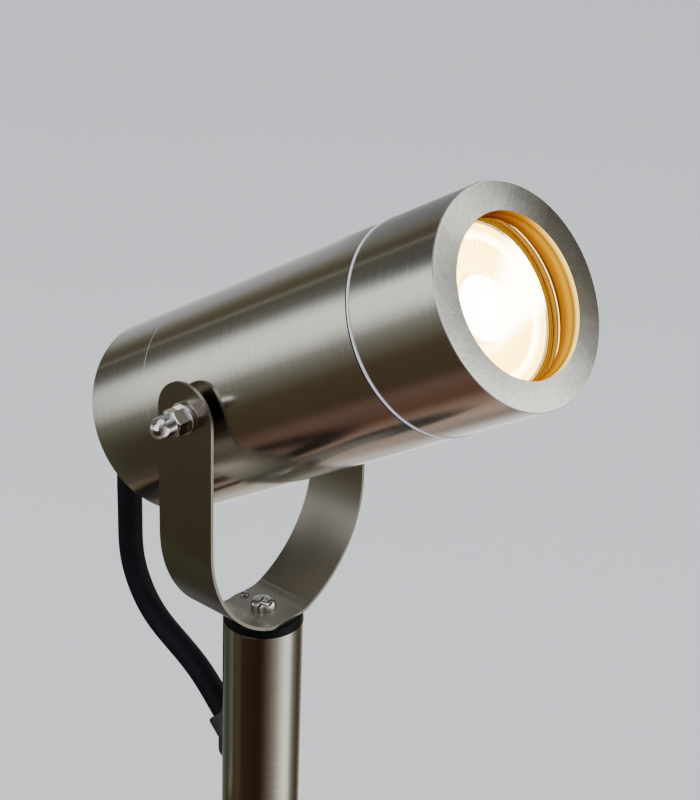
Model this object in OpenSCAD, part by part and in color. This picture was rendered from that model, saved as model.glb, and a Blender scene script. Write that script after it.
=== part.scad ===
// Garden spike light: a tubular head for a 50 mm twist-lock lamp, held in a bent strip yoke
// on a slim pole with a ground spike. +Z is up, z = 0 is the soil line on the pole's axis,
// the head pivots about an axis along X and its beam points to -Y, tilted up.
// Pieces in the head are drawn in the head's own frame: origin at the pivot, +Z along the beam.

/* [Head] */
// Wall of the head tube
tube_wall = 1.5; // [1.2:0.1:2]
// From the pivot to the front end of the head tube
tube_front = 69; // [68:0.5:80]
// From the pivot to the seam between head tube and rear cap
tube_rear = 19; // [17:0.5:22]
// From the pivot to the rear face of the head
rear_len = 45.5; // [44:0.5:56]
// Tilt of the beam above level as stored
head_tilt = 31.4; // [20:0.2:40]
// Thickness of the rear cap's end wall
cap_end = 3; // [2:0.5:4]
// Length of the rear cap's spigot inside the tube
cap_spigot = 8; // [5:0.5:9]

/* [Front sleeve] */
// Length of the front sleeve with its front wall
sleeve_len = 30.5; // [30:0.5:40]
// Thickness of the sleeve's front wall
front_wall = 6; // [4:0.5:8]
// Diameter of the opening in the front wall
aperture_d = 43.5; // [38:0.5:46]
// Thickness of the pale ring in the seam behind the sleeve
seal_t = 1; // [0.6:0.1:1.5]
// How far the seam ring stands proud of the tube
seal_proud = 0.3; // [0.1:0.1:0.5]
// Thickness of the glass
glass_t = 3; // [2:0.5:4]
// Thickness of the gasket behind the glass
gasket_t = 2; // [1.5:0.5:3]
// Length of the thread collar inside the head tube
collar_grip = 12; // [8:1:16]
// Wall of the thread collar, from the lamp's room to the foot of its thread
collar_wall = 2.15; // [1.6:0.05:3]
// Room between the lamp and the thread collar
lamp_clear = 0.6; // [0.4:0.1:1]

/* [Lamp] */
// Diameter of the lamp's face
lamp_d = 50; // [49:0.5:51]
// Length of the lamp from its face to the shoulder at its pins
lamp_len = 54; // [50:1:57]
// Distance between the lamp's two pins
pin_pitch = 10; // [10:0.5:11]
// Diameter of the pins' heads
pin_head_d = 5; // [4.5:0.1:5.2]
// Diameter of the pins' necks
pin_neck_d = 3; // [2.6:0.1:3.2]
// Length of the pins' necks
pin_neck_l = 4.4; // [4.2:0.1:5]
// Thickness of the pins' heads
pin_head_l = 2.4; // [2:0.1:2.8]
// Turn that frees the lamp from its holder
lamp_turn = 25; // [20:1:30]
// Diameter of the lamp holder
holder_d = 28; // [27:0.5:32]
// Length of the lamp holder
holder_len = 16; // [15:0.5:18]

/* [Yoke] */
// Width of the yoke's strip
strip_w = 21; // [18:0.5:24]
// Thickness of the yoke's strip
strip_t = 1.2; // [1:0.1:2]
// Gap between the head tube and the inside of each arm
arm_gap = 1.9; // [1.2:0.1:4]
// Height of the pivot above the underside of the yoke's base
pivot_h = 76.5; // [74:0.5:90]
// Outside radius of the bend from the base into each arm
bend_r = 39; // [37:0.5:42]
// Half width of the flat between the two creases of the base
flat_half = 7; // [6:0.5:9]

/* [Pivot] */
// Diameter of the pivot bolts
bolt_d = 5; // [4:0.5:6]
// Width across the flats of the cap nuts
nut_af = 8; // [8:0.5:10]
// Length of the cap nuts
nut_len = 11; // [10:0.5:13]
// Thickness of the washers under the cap nuts
washer_t = 1; // [0.5:0.1:1.5]

/* [Pole and spike] */
// Outside diameter of the pole
pole_d = 25; // [24:0.5:28]
// Wall of the pole
pole_wall = 1.2; // [1:0.1:1.6]
// Height of the pole's rim above the soil line
pole_top = 184; // [176:1:240]
// How far the pole reaches below the soil line into the spike
socket_deep = 20; // [15:1:30]
// How far the black cap stands above the pole's rim
cap_rise = 3; // [2:0.5:5]
// Height of the spike's socket above the soil line
socket_high = 18; // [14:1:20]
// Wall of the spike's socket
socket_wall = 3; // [2.5:0.5:4]
// Diameter of the spike's flange
flange_d = 60; // [50:1:62]
// Thickness of the spike's flange
flange_t = 3; // [2:0.5:5]
// Length of the spike below the soil line
spike_len = 150; // [120:5:200]
// Width across the spike's fins at the top
fin_w = 40; // [34:1:46]
// Thickness of the spike's fins
fin_t = 3; // [2.5:0.5:4]

/* [Lead] */
// Diameter of the lead
lead_d = 8; // [7:0.1:8]
// Distance from the top of the pole's cap down to the upper lead hole
hole_drop = 50; // [48:0.5:52]
// Height of the lower lead hole above the soil line
foot_hole_z = 31; // [30:0.5:32]

/* [Hidden] */
$fn = 96;

// Clearances: between seated pieces, in a running fit, and between pieces that move apart
seat_gap = 0.05;
run_gap = 0.08;
free_gap = 0.3;

// Head radii, from the lamp outwards
lamp_r = lamp_d / 2;
thread_step = 0.7;
thread_r = lamp_r + lamp_clear + collar_wall;
collar_r = thread_r + thread_step;
tube_bore_r = collar_r + seat_gap;
head_r = tube_bore_r + tube_wall;
sleeve_bore_r = thread_r + run_gap;
spigot_wall = 1.5;
aperture_r = aperture_d / 2;
edge = 0.4;

// Places along the head's axis, from the pivot
sleeve_rear = tube_front + seal_t;
front_face = sleeve_rear + sleeve_len;
glass_front = front_face - front_wall;
glass_back = glass_front - glass_t;
gasket_back = glass_back - gasket_t;
collar_front = gasket_back - free_gap;
collar_rear = tube_front - collar_grip;
glass_r = sleeve_bore_r - free_gap;
gasket_lap = 0.8;
lamp_face = gasket_back - 0.5;
lamp_shoulder = lamp_face - lamp_len;
holder_front = lamp_shoulder - free_gap;
holder_back = holder_front - holder_len;
bracket_t = 1.5;
web_back = holder_back - bracket_t;
cap_inner = -rear_len + cap_end;

// Lamp holder: its front plate with the keyholes, and the hollow that the pin heads turn in
pin_r = pin_pitch / 2;
key_plate = 3;
key_clear = 0.3;
key_back = holder_front - key_plate;
pin_end = lamp_shoulder - pin_neck_l - pin_head_l;
hollow_back = pin_end - 2;
hollow_r = pin_r + pin_head_d / 2 + 0.7;

// Inner bracket, the screws on it and the terminal block
leg_w = 14;
leg_back = -8;
leg_r = tube_bore_r - 0.1;
leg_bore_r = leg_r - bracket_t;
web_half = 16;
holder_screw_y = hollow_r + (holder_d / 2 - hollow_r) / 2;
holder_screw_r = 1.5;
holder_screw_deep = 7;
block_x = 14;
block_y = 7;
block_len = 12;
block_foot = 3.2;
block_front = web_back - block_foot;
block_back = block_front - block_len;
way_x = 5;
earth_at = [leg_r - 10.4, 11];
earth_screw_r = 2;
lug_t = 0.8;
core_d = 2.4;

// Cable gland in the rear cap
gland_r = 8;
gland_hex = 2.5;
gland_nut_len = 4;
gland_stub_r = 7;
gland_lock_t = 3;
lead_r = lead_d / 2;
gland_mouth = -rear_len - gland_hex - gland_nut_len;
gland_lid = 1.5;
seal_pocket_r = 6.4;
seal_pocket_len = 6;
jacket_end = cap_inner + 14.5;

// Pivot stack, outwards from the tube
bolt_r = bolt_d / 2;
arm_in = head_r + arm_gap;
arm_out = arm_in + strip_t;
washer_x = arm_out + 0.1;
nut_x = washer_x + washer_t;
bolt_head_r = bolt_d * 0.85;
bolt_head_t = 3;
bolt_seat_x = sqrt(leg_bore_r * leg_bore_r - bolt_head_r * bolt_head_r) - seat_gap;
bolt_tip_x = nut_x + nut_len * 0.7;
nut_hex_len = nut_len * 0.4;
nut_dome_r = nut_af / 2 - 0.25;
spacer_r = 6;

// Yoke, from the underside of its base
base_z = pole_top + cap_rise;
pivot_z = base_z + pivot_h;
bend_x = arm_out - bend_r;
bend_z = sqrt(bend_r * bend_r - (flat_half - bend_x) * (flat_half - bend_x));
screw_r = 2;
screw_head_r = 4;
screw_head_h = 2.6;
screw_len = 15;
locating_pin = [0.5, strip_w / 2 - 1.9];
locating_pin_r = 1;

// Pole, cap and grommets
pole_r = pole_d / 2;
pole_bore_r = pole_r - pole_wall;
cap_r = pole_r - 0.2;
plug_len = 18;
hole_angle = 45;
grommet_r = 5.9;
grommet_lip_r = 8;
grommet_lip = 1.4;
grommet_out = 6;
grommet_in = 4;
hole_z = base_z - hole_drop;
socket_r = pole_r + seat_gap + socket_wall;
socket_floor = 4;
socket_screw_z = socket_high / 2;

// Route of the lead from the gland's mouth to the pole's upper grommet, in the plane x = 0
head_route = [
    [0, 44.4, 236.4], [0, 47.8, 234.3], [0, 51.1, 231.6], [0, 54, 228.2], [0, 56.5, 224.2],
    [0, 58.3, 219.6], [0, 59.4, 214.6], [0, 59.8, 209], [0, 59.8, 202], [0, 59.8, 195],
    [0, 59.8, 188], [0, 59.2, 182], [0, 57.6, 176.4], [0, 54.9, 171], [0, 51.3, 166.3],
    [0, 46.8, 162.4], [0, 41.5, 159.3], [0, 36.2, 156.6], [0, 31.2, 153.8], [0, 26.6, 150.6],
    [0, 22, 146.5], [0, 16.74, 141.24],
];
// Route inside the pole, from the upper grommet's mouth to the lower one's
pole_route = [
    [0, 16.74, 141.24], [0, 9.6, 134.1], [0, 6, 129.8], [0, 3.3, 125], [0, 1.4, 119.8],
    [0, 0.5, 114.6], [0, 0.3, 109], [0, 0.3, 84], [0, 0.3, 59], [0, 0.5, 53.4], [0, 1.4, 48.2],
    [0, 3.3, 43], [0, 6, 38.2], [0, 9.6, 33.9], [0, 16.74, 26.76],
];
// Route from the lower grommet's mouth down to the ground and back to the coil
supply_route = [
    [0, 16.74, 26.76], [0, 21.5, 22], [0, 26.2, 17.3], [0, 30.8, 13], [0, 35.7, 9.6],
    [0, 41.2, 6.9], [0, 47, 5], [0, 53, 4.1], [0, 60, 4], [0, 67, 4],
];
coil_start = [0, 75, 4];

// Coil: spirals in on the ground layer, climbs in the half turn round the reversal, spirals out
coil_pitch = 8.6;
coil_step = 8.8;
coil_in_r = 32;
coil_turns_in = 2.75;
coil_turns_out = 2.5;
rings_a_turn = 24;
coil_out_r = coil_in_r + coil_pitch * coil_turns_in;
coil_centre = coil_start - [coil_out_r, 0, 0];
coil_rings = round((coil_turns_in + coil_turns_out) * rings_a_turn);
coil_line = [for (i = [0 : coil_rings]) coil_point(i / rings_a_turn)];
coil_exit = unit(coil_line[coil_rings] - coil_line[coil_rings - 1]);
coil_end = coil_line[coil_rings] + coil_exit * lead_d;
coil_route = concat([coil_start - [0, lead_d, 0]], coil_line, [coil_end]);
coil_gap = min([
    for (i = [0 : coil_rings - rings_a_turn / 2], j = [i + rings_a_turn / 2 : coil_rings])
        norm(coil_line[i] - coil_line[j])
]) - lead_d;
echo(coil_least_gap_mm = coil_gap);

// Bare end of the lead: three cores with ferrules
core_spread = 9;
core_bare = 26;
ferrule_len = 9;

// Functions

function unit(v) = v / norm(v);

function coil_point(turn) =
    let (
        r = coil_in_r + coil_pitch * abs(turn - coil_turns_in),
        climb = min(max((turn - coil_turns_in + 0.25) * 2, 0), 1),
        angle = 360 * turn
    )
    coil_centre + [r * cos(angle), r * sin(angle), coil_step * climb];

function route_dir(route, i) =
    unit(route[min(i + 1, len(route) - 1)] - route[max(i - 1, 0)]);

// Points of one ring of a tube; no stretch of the route may run along ref
function ring_points(centre, dir, r, sides, ref) =
    let (
        side = unit(cross(dir, ref)),
        up = cross(side, dir)
    )
    [for (k = [0 : sides - 1]) centre + r * (side * sin(360 * k / sides) - up * cos(360 * k / sides))];

// Shapes that repeat

// One closed tube swept along a route, with triangles for faces
module swept_tube(route, r, sides, ref) {
    rings = len(route);
    points = [for (i = [0 : rings - 1]) each ring_points(route[i], route_dir(route, i), r, sides, ref)];
    walls = [
        for (i = [0 : rings - 2], k = [0 : sides - 1])
            let (a = i * sides + k, b = i * sides + (k + 1) % sides)
                each [[a, b, a + sides], [b, b + sides, a + sides]]
    ];
    last = (rings - 1) * sides;
    ends = [for (k = [1 : sides - 2]) each [[0, k + 1, k], [last, last + k, last + k + 1]]];
    polyhedron(points, concat(walls, ends));
}

// A round bar from one point to another
module bar(from, to, r) {
    way = to - from;
    turn = atan2(way[1], way[0]);
    lean = acos(way[2] / norm(way));
    translate(from)
        rotate([0, lean, turn])
            cylinder(h = norm(way), r = r, $fn = 24);
}

// Puts what is drawn in the head's frame in its place
module in_head() {
    translate([0, 0, pivot_z])
        rotate([90 - head_tilt, 0, 0])
            children();
}

// A ring round the Z axis
module ring(from, to, outer_r, inner_r) {
    translate([0, 0, from])
        difference() {
            cylinder(h = to - from, r = outer_r);
            translate([0, 0, -1])
                cylinder(h = to - from + 2, r = inner_r);
        }
}

// A plain bar along X
module cross_bar(from, to, r) {
    translate([from, 0, 0])
        rotate([0, 90, 0])
            cylinder(h = to - from, r = r);
}

// Places its children on both sides of the head, drawn for +X
module both_sides() {
    for (turn = [0, 180])
        rotate([0, 0, turn])
            children();
}

// A hexagon with its corners turned off at the free end
module hexagon(af, h, chamfer) {
    intersection() {
        cylinder(h = h, r = af / sqrt(3), $fn = 6);
        union() {
            cylinder(h = h - chamfer, r = af);
            translate([0, 0, h - chamfer])
                cylinder(h = chamfer, r1 = af / sqrt(3), r2 = af / 2 * 0.97);
        }
    }
}

// Pole, spike and yoke

module spike() {
    color([0.06, 0.06, 0.06])
        difference() {
            union() {
                cylinder(h = flange_t, d = flange_d);
                translate([0, 0, flange_t])
                    cylinder(h = 2, r1 = socket_r + 2, r2 = socket_r);
                translate([0, 0, -socket_deep - socket_floor])
                    cylinder(h = socket_deep + socket_floor + socket_high, r = socket_r);
                for (turn = [0, 90])
                    rotate([90, 0, turn])
                        linear_extrude(height = fin_t, center = true)
                            polygon([
                                [-fin_w / 2, 0], [-fin_w / 2, -spike_len * 0.2], [-fin_t / 2, -spike_len],
                                [fin_t / 2, -spike_len], [fin_w / 2, -spike_len * 0.2], [fin_w / 2, 0],
                            ]);
            }
            translate([0, 0, -socket_deep])
                cylinder(h = socket_deep + socket_high + 1, r = pole_r + seat_gap);
            translate([0, 0, socket_screw_z])
                cross_bar(0, socket_r + 1, screw_r + seat_gap);
        }
}

// Screw that holds the pole in the spike's socket
module socket_screw() {
    color([0.75, 0.75, 0.76])
        translate([0, 0, socket_screw_z]) {
            cross_bar(pole_bore_r - 2, socket_r + seat_gap, screw_r);
            translate([socket_r + seat_gap, 0, 0])
                rotate([0, 90, 0])
                    pan_head(3.5, 2);
        }
}

// A low domed head with a cross recess, its seat on z = 0
module pan_head(r, h) {
    difference() {
        intersection() {
            cylinder(h = h, r = r);
            translate([0, 0, h - 1.7 * r])
                sphere(r = 1.7 * r);
        }
        for (turn = [0, 90])
            rotate([0, 0, turn])
                translate([-r * 0.5, -r * 0.1, h * 0.45])
                    cube([r, r * 0.2, h]);
    }
}

module pole() {
    color([0.55, 0.55, 0.52])
        difference() {
            translate([0, 0, -socket_deep])
                cylinder(h = socket_deep + pole_top, r = pole_r);
            translate([0, 0, -socket_deep - 1])
                cylinder(h = socket_deep + pole_top + 2, r = pole_bore_r);
            lead_hole(hole_z, 1, grommet_r + seat_gap);
            lead_hole(foot_hole_z, -1, grommet_r + seat_gap);
            translate([0, 0, socket_screw_z])
                cross_bar(0, pole_r + 1, screw_r + seat_gap);
        }
}

// A slanting bar through the rear wall of the pole, rising outwards for way = 1
module lead_hole(z, way, r) {
    translate([0, pole_r, z])
        rotate([-90 + way * hole_angle, 0, 0])
            translate([0, 0, -grommet_in - 4])
                cylinder(h = grommet_in + grommet_out + 8, r = r);
}

// Rubber sleeve in the slanting hole, with a lip round the hole outside
module grommet(z, way) {
    color([0.05, 0.05, 0.05])
        difference() {
            union() {
                translate([0, pole_r, z])
                    rotate([-90 + way * hole_angle, 0, 0])
                        translate([0, 0, -grommet_in])
                            cylinder(h = grommet_in + grommet_out, r = grommet_r);
                intersection() {
                    lead_hole(z, way, grommet_lip_r);
                    ring(z - 20, z + 20, pole_r + grommet_lip, pole_r + seat_gap);
                }
            }
            lead_hole(z, way, lead_r + seat_gap);
        }
}

module pole_grommet() {
    grommet(hole_z, 1);
}

module foot_grommet() {
    grommet(foot_hole_z, -1);
}

// Black plug in the pole's top that carries the yoke
module pole_cap() {
    color([0.07, 0.07, 0.07])
        difference() {
            union() {
                translate([0, 0, pole_top])
                    cylinder(h = cap_rise, r = cap_r);
                translate([0, 0, pole_top - plug_len])
                    cylinder(h = plug_len, r = pole_bore_r - seat_gap);
            }
            difference() {
                translate([0, 0, pole_top - plug_len - 1])
                    cylinder(h = plug_len - 2, r = pole_bore_r - 2);
                translate([0, 0, pole_top - plug_len - 1])
                    cylinder(h = plug_len + 2, r = screw_r + 3);
                for (turn = [0 : 60 : 120])
                    rotate([0, 0, turn])
                        translate([-pole_r, -0.8, pole_top - plug_len - 1])
                            cube([2 * pole_r, 1.6, plug_len + 2]);
            }
            translate([0, 0, base_z - screw_len])
                cylinder(h = screw_len + 1, r = screw_r + seat_gap);
            translate([locating_pin[0], locating_pin[1], base_z - 3])
                cylinder(h = 4, r = locating_pin_r + seat_gap);
        }
}

module yoke() {
    color([0.5, 0.5, 0.45])
        translate([0, 0, base_z])
            difference() {
                union() {
                    translate([-flat_half, -strip_w / 2, 0])
                        cube([2 * flat_half, strip_w, strip_t]);
                    both_sides()
                        yoke_side();
                }
                translate([0, 0, pivot_h])
                    cross_bar(-arm_out - 1, arm_out + 1, bolt_r + run_gap);
                translate([0, 0, -1])
                    cylinder(h = strip_t + 2, r = screw_r + seat_gap);
                translate([locating_pin[0], locating_pin[1], -1])
                    cylinder(h = strip_t + 2, r = locating_pin_r + seat_gap);
            }
}

// The bend and the arm on the +X side
module yoke_side() {
    intersection() {
        translate([bend_x, strip_w / 2, bend_z])
            rotate([90, 0, 0])
                difference() {
                    cylinder(h = strip_w, r = bend_r, $fn = 180);
                    translate([0, 0, -1])
                        cylinder(h = strip_w + 2, r = bend_r - strip_t, $fn = 180);
                }
        translate([flat_half, -strip_w, 0])
            cube([arm_out, 2 * strip_w, bend_z]);
    }
    translate([arm_in, -strip_w / 2, bend_z])
        cube([strip_t, strip_w, pivot_h - bend_z]);
    translate([0, 0, pivot_h])
        cross_bar(arm_in, arm_out, strip_w / 2);
}

module yoke_screw() {
    color([0.8, 0.8, 0.8]) {
        translate([0, 0, base_z + strip_t])
            pan_head(screw_head_r, screw_head_h);
        translate([0, 0, base_z - screw_len + 1])
            cylinder(h = screw_len - 1 + strip_t, r = screw_r);
    }
}

// Locating pin that stops the yoke from turning on the cap
module yoke_pin() {
    color([0.7, 0.7, 0.68])
        translate([locating_pin[0], locating_pin[1], base_z]) {
            translate([0, 0, -2.8])
                cylinder(h = 2.8 + strip_t, r = locating_pin_r);
            translate([0, 0, strip_t])
                intersection() {
                    cylinder(h = 0.7, r = locating_pin_r + 0.3);
                    translate([0, 0, 0.7 - 2])
                        sphere(r = 2);
                }
        }
}

// Lead

module pole_lead() {
    color([0.04, 0.04, 0.04])
        swept_tube(pole_route, lead_r, 10, [1, 0, 0]);
}

module head_lead() {
    color([0.04, 0.04, 0.04])
        swept_tube(head_route, lead_r, 10, [1, 0, 0]);
}

module supply_run() {
    color([0.04, 0.04, 0.04])
        swept_tube(supply_route, lead_r, 10, [1, 0, 0]);
}

module supply_coil() {
    color([0.04, 0.04, 0.04])
        swept_tube(coil_route, lead_r, 6, [0, 0, 1]);
}

// One core of the bare end, splayed sideways by some millimetres
module end_core(spread, lift, colour) {
    side = [-coil_exit[1], coil_exit[0], 0];
    root = coil_end + side * spread * 0.2 + [0, 0, lift];
    bend = root + coil_exit * 4;
    tip = bend + coil_exit * core_bare + side * spread;
    color(colour)
        swept_tube([root, bend, tip], core_d / 2, 8, [0, 0, 1]);
}

module end_core_live() {
    end_core(core_spread, -1.2, [0.35, 0.18, 0.08]);
}

module end_core_neutral() {
    end_core(-core_spread, -1.2, [0.1, 0.3, 0.65]);
}

module end_core_earth() {
    end_core(0, 1.4, [0.45, 0.6, 0.1]);
}

// Ferrules crimped on the three cores
module ferrules() {
    side = [-coil_exit[1], coil_exit[0], 0];
    color([0.8, 0.8, 0.78])
        for (core = [[core_spread, -1.2], [-core_spread, -1.2], [0, 1.4]]) {
            run = unit(coil_exit * core_bare + side * core[0]);
            tip = coil_end + side * core[0] * 1.2 + [0, 0, core[1]] + coil_exit * (4 + core_bare);
            bar(tip + run * seat_gap, tip + run * ferrule_len, core_d / 2 * 0.7);
        }
}

// Head

module head_tube() {
    color([0.52, 0.51, 0.46])
        in_head()
            difference() {
                ring(-tube_rear, tube_front, head_r, tube_bore_r);
                cross_bar(-head_r - 1, head_r + 1, bolt_r + seat_gap);
            }
}

module rear_cap() {
    color([0.5, 0.49, 0.45])
        in_head()
            rotate_extrude($fn = 120)
                difference() {
                    union() {
                        polygon([
                            [0, -rear_len], [head_r - edge, -rear_len], [head_r, -rear_len + edge],
                            [head_r, -tube_rear], [0, -tube_rear],
                        ]);
                        translate([0, -tube_rear])
                            square([tube_bore_r - seat_gap, cap_spigot]);
                    }
                    translate([0, cap_inner])
                        square([tube_bore_r - spigot_wall, rear_len]);
                    translate([0, -rear_len - 1])
                        square([gland_r + seat_gap, cap_end + 2]);
                    translate([tube_bore_r - 0.9, -tube_rear + cap_spigot / 2 - 1])
                        square([2, 2]);
                }
}

// O-ring in the groove of the rear cap's spigot
module cap_seal() {
    color([0.08, 0.08, 0.08])
        in_head()
            ring(-tube_rear + cap_spigot / 2 - 0.9, -tube_rear + cap_spigot / 2 + 0.9,
                tube_bore_r - 0.02, tube_bore_r - 0.85);
}

// Ring in the tube's front end that the sleeve screws on to
module thread_collar() {
    color([0.72, 0.72, 0.7])
        in_head()
            difference() {
                union() {
                    translate([0, 0, collar_rear])
                        cylinder(h = collar_grip, r = collar_r);
                    translate([0, 0, tube_front])
                        cylinder(h = collar_front - tube_front, r = thread_r);
                }
                translate([0, 0, collar_rear - 1])
                    cylinder(h = collar_front - collar_rear + 2, r = lamp_r + lamp_clear);
            }
}

module seam_seal() {
    color([0.8, 0.78, 0.85])
        in_head()
            ring(tube_front, tube_front + seal_t, head_r + seal_proud, thread_r + seat_gap);
}

module pivot_bolts() {
    color([0.75, 0.75, 0.75])
        in_head()
            both_sides() {
                cross_bar(bolt_seat_x, bolt_tip_x, bolt_r);
                translate([bolt_seat_x, 0, 0])
                    rotate([0, -90, 0])
                        hexagon(bolt_head_r * sqrt(3), bolt_head_t, 0.5);
            }
}

// Saddle-faced spacers between the tube and the arms
module pivot_spacers() {
    color([0.1, 0.1, 0.1])
        in_head()
            both_sides()
                difference() {
                    cross_bar(head_r * 0.9, arm_in - 0.1, spacer_r);
                    translate([0, 0, -spacer_r - 1])
                        cylinder(h = 2 * spacer_r + 2, r = head_r + seat_gap, $fn = 180);
                    cross_bar(0, arm_in, bolt_r + seat_gap);
                }
}

module pivot_washers() {
    color([0.8, 0.8, 0.8])
        in_head()
            both_sides()
                difference() {
                    cross_bar(washer_x, nut_x, nut_af * 0.62);
                    cross_bar(0, nut_x + 1, bolt_r + seat_gap);
                }
}

// Cap nuts: a hexagon with a domed, closed end
module pivot_nuts() {
    color([0.85, 0.85, 0.85])
        in_head()
            both_sides()
                difference() {
                    translate([nut_x, 0, 0])
                        rotate([0, 90, 0])
                            union() {
                                hexagon(nut_af, nut_hex_len, 0.8);
                                cylinder(h = nut_len - nut_dome_r, r = nut_dome_r);
                                translate([0, 0, nut_len - nut_dome_r])
                                    sphere(r = nut_dome_r);
                            }
                    cross_bar(0, bolt_tip_x + 0.5, bolt_r + seat_gap);
                }
}

// Bent bracket inside the tube, held by the pivot bolts, that carries the lamp holder
module holder_bracket() {
    color([0.7, 0.7, 0.68])
        in_head()
            difference() {
                union() {
                    intersection() {
                        translate([0, 0, web_back])
                            cylinder(h = bracket_t, r = leg_r);
                        translate([-head_r, -web_half, web_back])
                            cube([2 * head_r, 2 * web_half, bracket_t]);
                    }
                    intersection() {
                        ring(leg_back, holder_back, leg_r, leg_bore_r);
                        translate([-head_r, -leg_w / 2, leg_back])
                            cube([2 * head_r, leg_w, holder_back - leg_back]);
                    }
                }
                cross_bar(-head_r, head_r, bolt_r + seat_gap);
                for (side = [-1, 1]) {
                    translate([side * way_x, 0, web_back - 1])
                        cylinder(h = bracket_t + 2, r = core_d / 2 + 0.3);
                    translate([0, side * holder_screw_y, web_back - 1])
                        cylinder(h = bracket_t + 2, r = holder_screw_r + seat_gap);
                }
                translate([earth_at[0], earth_at[1], web_back - 1])
                    cylinder(h = bracket_t + 2, r = earth_screw_r + seat_gap);
            }
}

// Keyhole for one pin: the narrow place where it locks, the arc it turns through, the wide entry
module keyhole() {
    cut = key_plate + 1;
    translate([0, 0, key_back - 0.5]) {
        translate([pin_r, 0, 0])
            cylinder(h = cut, r = pin_neck_d / 2 + key_clear, $fn = 32);
        rotate_extrude(angle = lamp_turn)
            translate([pin_r - pin_neck_d / 2 - key_clear, 0])
                square([pin_neck_d + 2 * key_clear, cut]);
        rotate([0, 0, lamp_turn])
            translate([pin_r, 0, 0])
                cylinder(h = cut, r = pin_head_d / 2 + key_clear, $fn = 32);
    }
}

module lamp_holder() {
    color([0.92, 0.9, 0.85])
        in_head()
            difference() {
                translate([0, 0, holder_back])
                    cylinder(h = holder_len, d = holder_d);
                translate([0, 0, hollow_back])
                    cylinder(h = key_back - hollow_back, r = hollow_r);
                both_sides()
                    keyhole();
                for (side = [-1, 1]) {
                    translate([0, side * holder_screw_y, holder_back - 1])
                        cylinder(h = holder_screw_deep + 1.2, r = holder_screw_r + seat_gap);
                    translate([side * way_x, 0, holder_back - 1])
                        cylinder(h = 4, r = core_d / 2 + 0.1);
                }
            }
}

module holder_screws() {
    color([0.75, 0.75, 0.75])
        in_head()
            for (side = [-1, 1])
                translate([0, side * holder_screw_y, web_back]) {
                    cylinder(h = bracket_t + holder_screw_deep, r = holder_screw_r);
                    rotate([180, 0, 0])
                        pan_head(2.8, 2);
                }
}

// Three-way terminal block on two feet behind the bracket's web
module terminal_block() {
    color([0.9, 0.9, 0.88])
        in_head()
            difference() {
                union() {
                    translate([-block_x, -block_y, block_back])
                        cube([2 * block_x, 2 * block_y, block_len]);
                    for (side = [-1, 1])
                        translate([side * (block_x - 2), 0, block_front])
                            cylinder(h = block_foot, r = 2);
                }
                for (side = [-1, 0, 1]) {
                    translate([side * way_x * 1.8, 0, block_back + block_len / 2])
                        rotate([-90, 0, 0])
                            cylinder(h = block_y + 1, r = 1.9);
                }
                for (side = [-1, 1])
                    translate([side * way_x, 0, block_back - 1])
                        cylinder(h = block_len + 2, r = core_d / 2 + 0.1);
            }
}

module terminal_screws() {
    color([0.8, 0.7, 0.4])
        in_head()
            for (side = [-1, 0, 1])
                translate([side * way_x * 1.8, 2, block_back + block_len / 2])
                    rotate([-90, 0, 0])
                        difference() {
                            cylinder(h = block_y - 3, r = 1.8);
                            translate([-2, -0.3, block_y - 4])
                                cube([4, 0.6, 2]);
                        }
}

module earth_screw() {
    color([0.8, 0.7, 0.4])
        in_head()
            translate([earth_at[0], earth_at[1], web_back - lug_t]) {
                cylinder(h = lug_t + bracket_t + 1, r = earth_screw_r);
                rotate([180, 0, 0])
                    pan_head(3.5, 2);
            }
}

// The lead inside the gland and the rear cap, up to where its jacket is stripped
module lead_end() {
    color([0.04, 0.04, 0.04])
        in_head()
            translate([0, 0, gland_mouth])
                cylinder(h = jacket_end - gland_mouth, r = lead_r);
}

// A core inside the head, along a few points
module core(points) {
    swept_tube(points, core_d / 2, 8, [0, 1, 0]);
}

module core_live() {
    color([0.35, 0.18, 0.08])
        in_head()
            core([[-1.5, 0.9, jacket_end], [-1.5, 0.9, jacket_end + 2], [-way_x, 0, block_back - 5],
                [-way_x, 0, block_back + 4]]);
}

module core_neutral() {
    color([0.1, 0.3, 0.65])
        in_head()
            core([[1.5, 0.9, jacket_end], [1.5, 0.9, jacket_end + 2], [way_x, 0, block_back - 5],
                [way_x, 0, block_back + 4]]);
}

// Earth core, bent round the terminal block to a ring lug under the earth screw
module core_earth() {
    lug = [earth_at[0], earth_at[1], web_back - lug_t];
    color([0.45, 0.6, 0.1])
        in_head() {
            core([
                [0, -1.7, jacket_end], [0, -1.7, jacket_end + 2], [4, -4, jacket_end + 8],
                [block_x + 4, -2, block_back - 5], [block_x + 4, 0, block_back + 3],
                [block_x + 4, 4, block_front - 4], lug + [0, -4.5, -seat_gap],
            ]);
            translate(lug)
                difference() {
                    union() {
                        cylinder(h = lug_t, r = 4);
                        translate([-1.2, -5.5, 0])
                            cube([2.4, 3, lug_t]);
                    }
                    translate([0, 0, -1])
                        cylinder(h = lug_t + 2, r = earth_screw_r + seat_gap);
                }
        }
}

module holder_leads() {
    color([0.85, 0.85, 0.85])
        in_head()
            for (side = [-1, 1])
                translate([side * way_x, 0, block_front - 4])
                    cylinder(h = holder_back + 2 - block_front + 4, r = core_d / 2);
}

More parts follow.
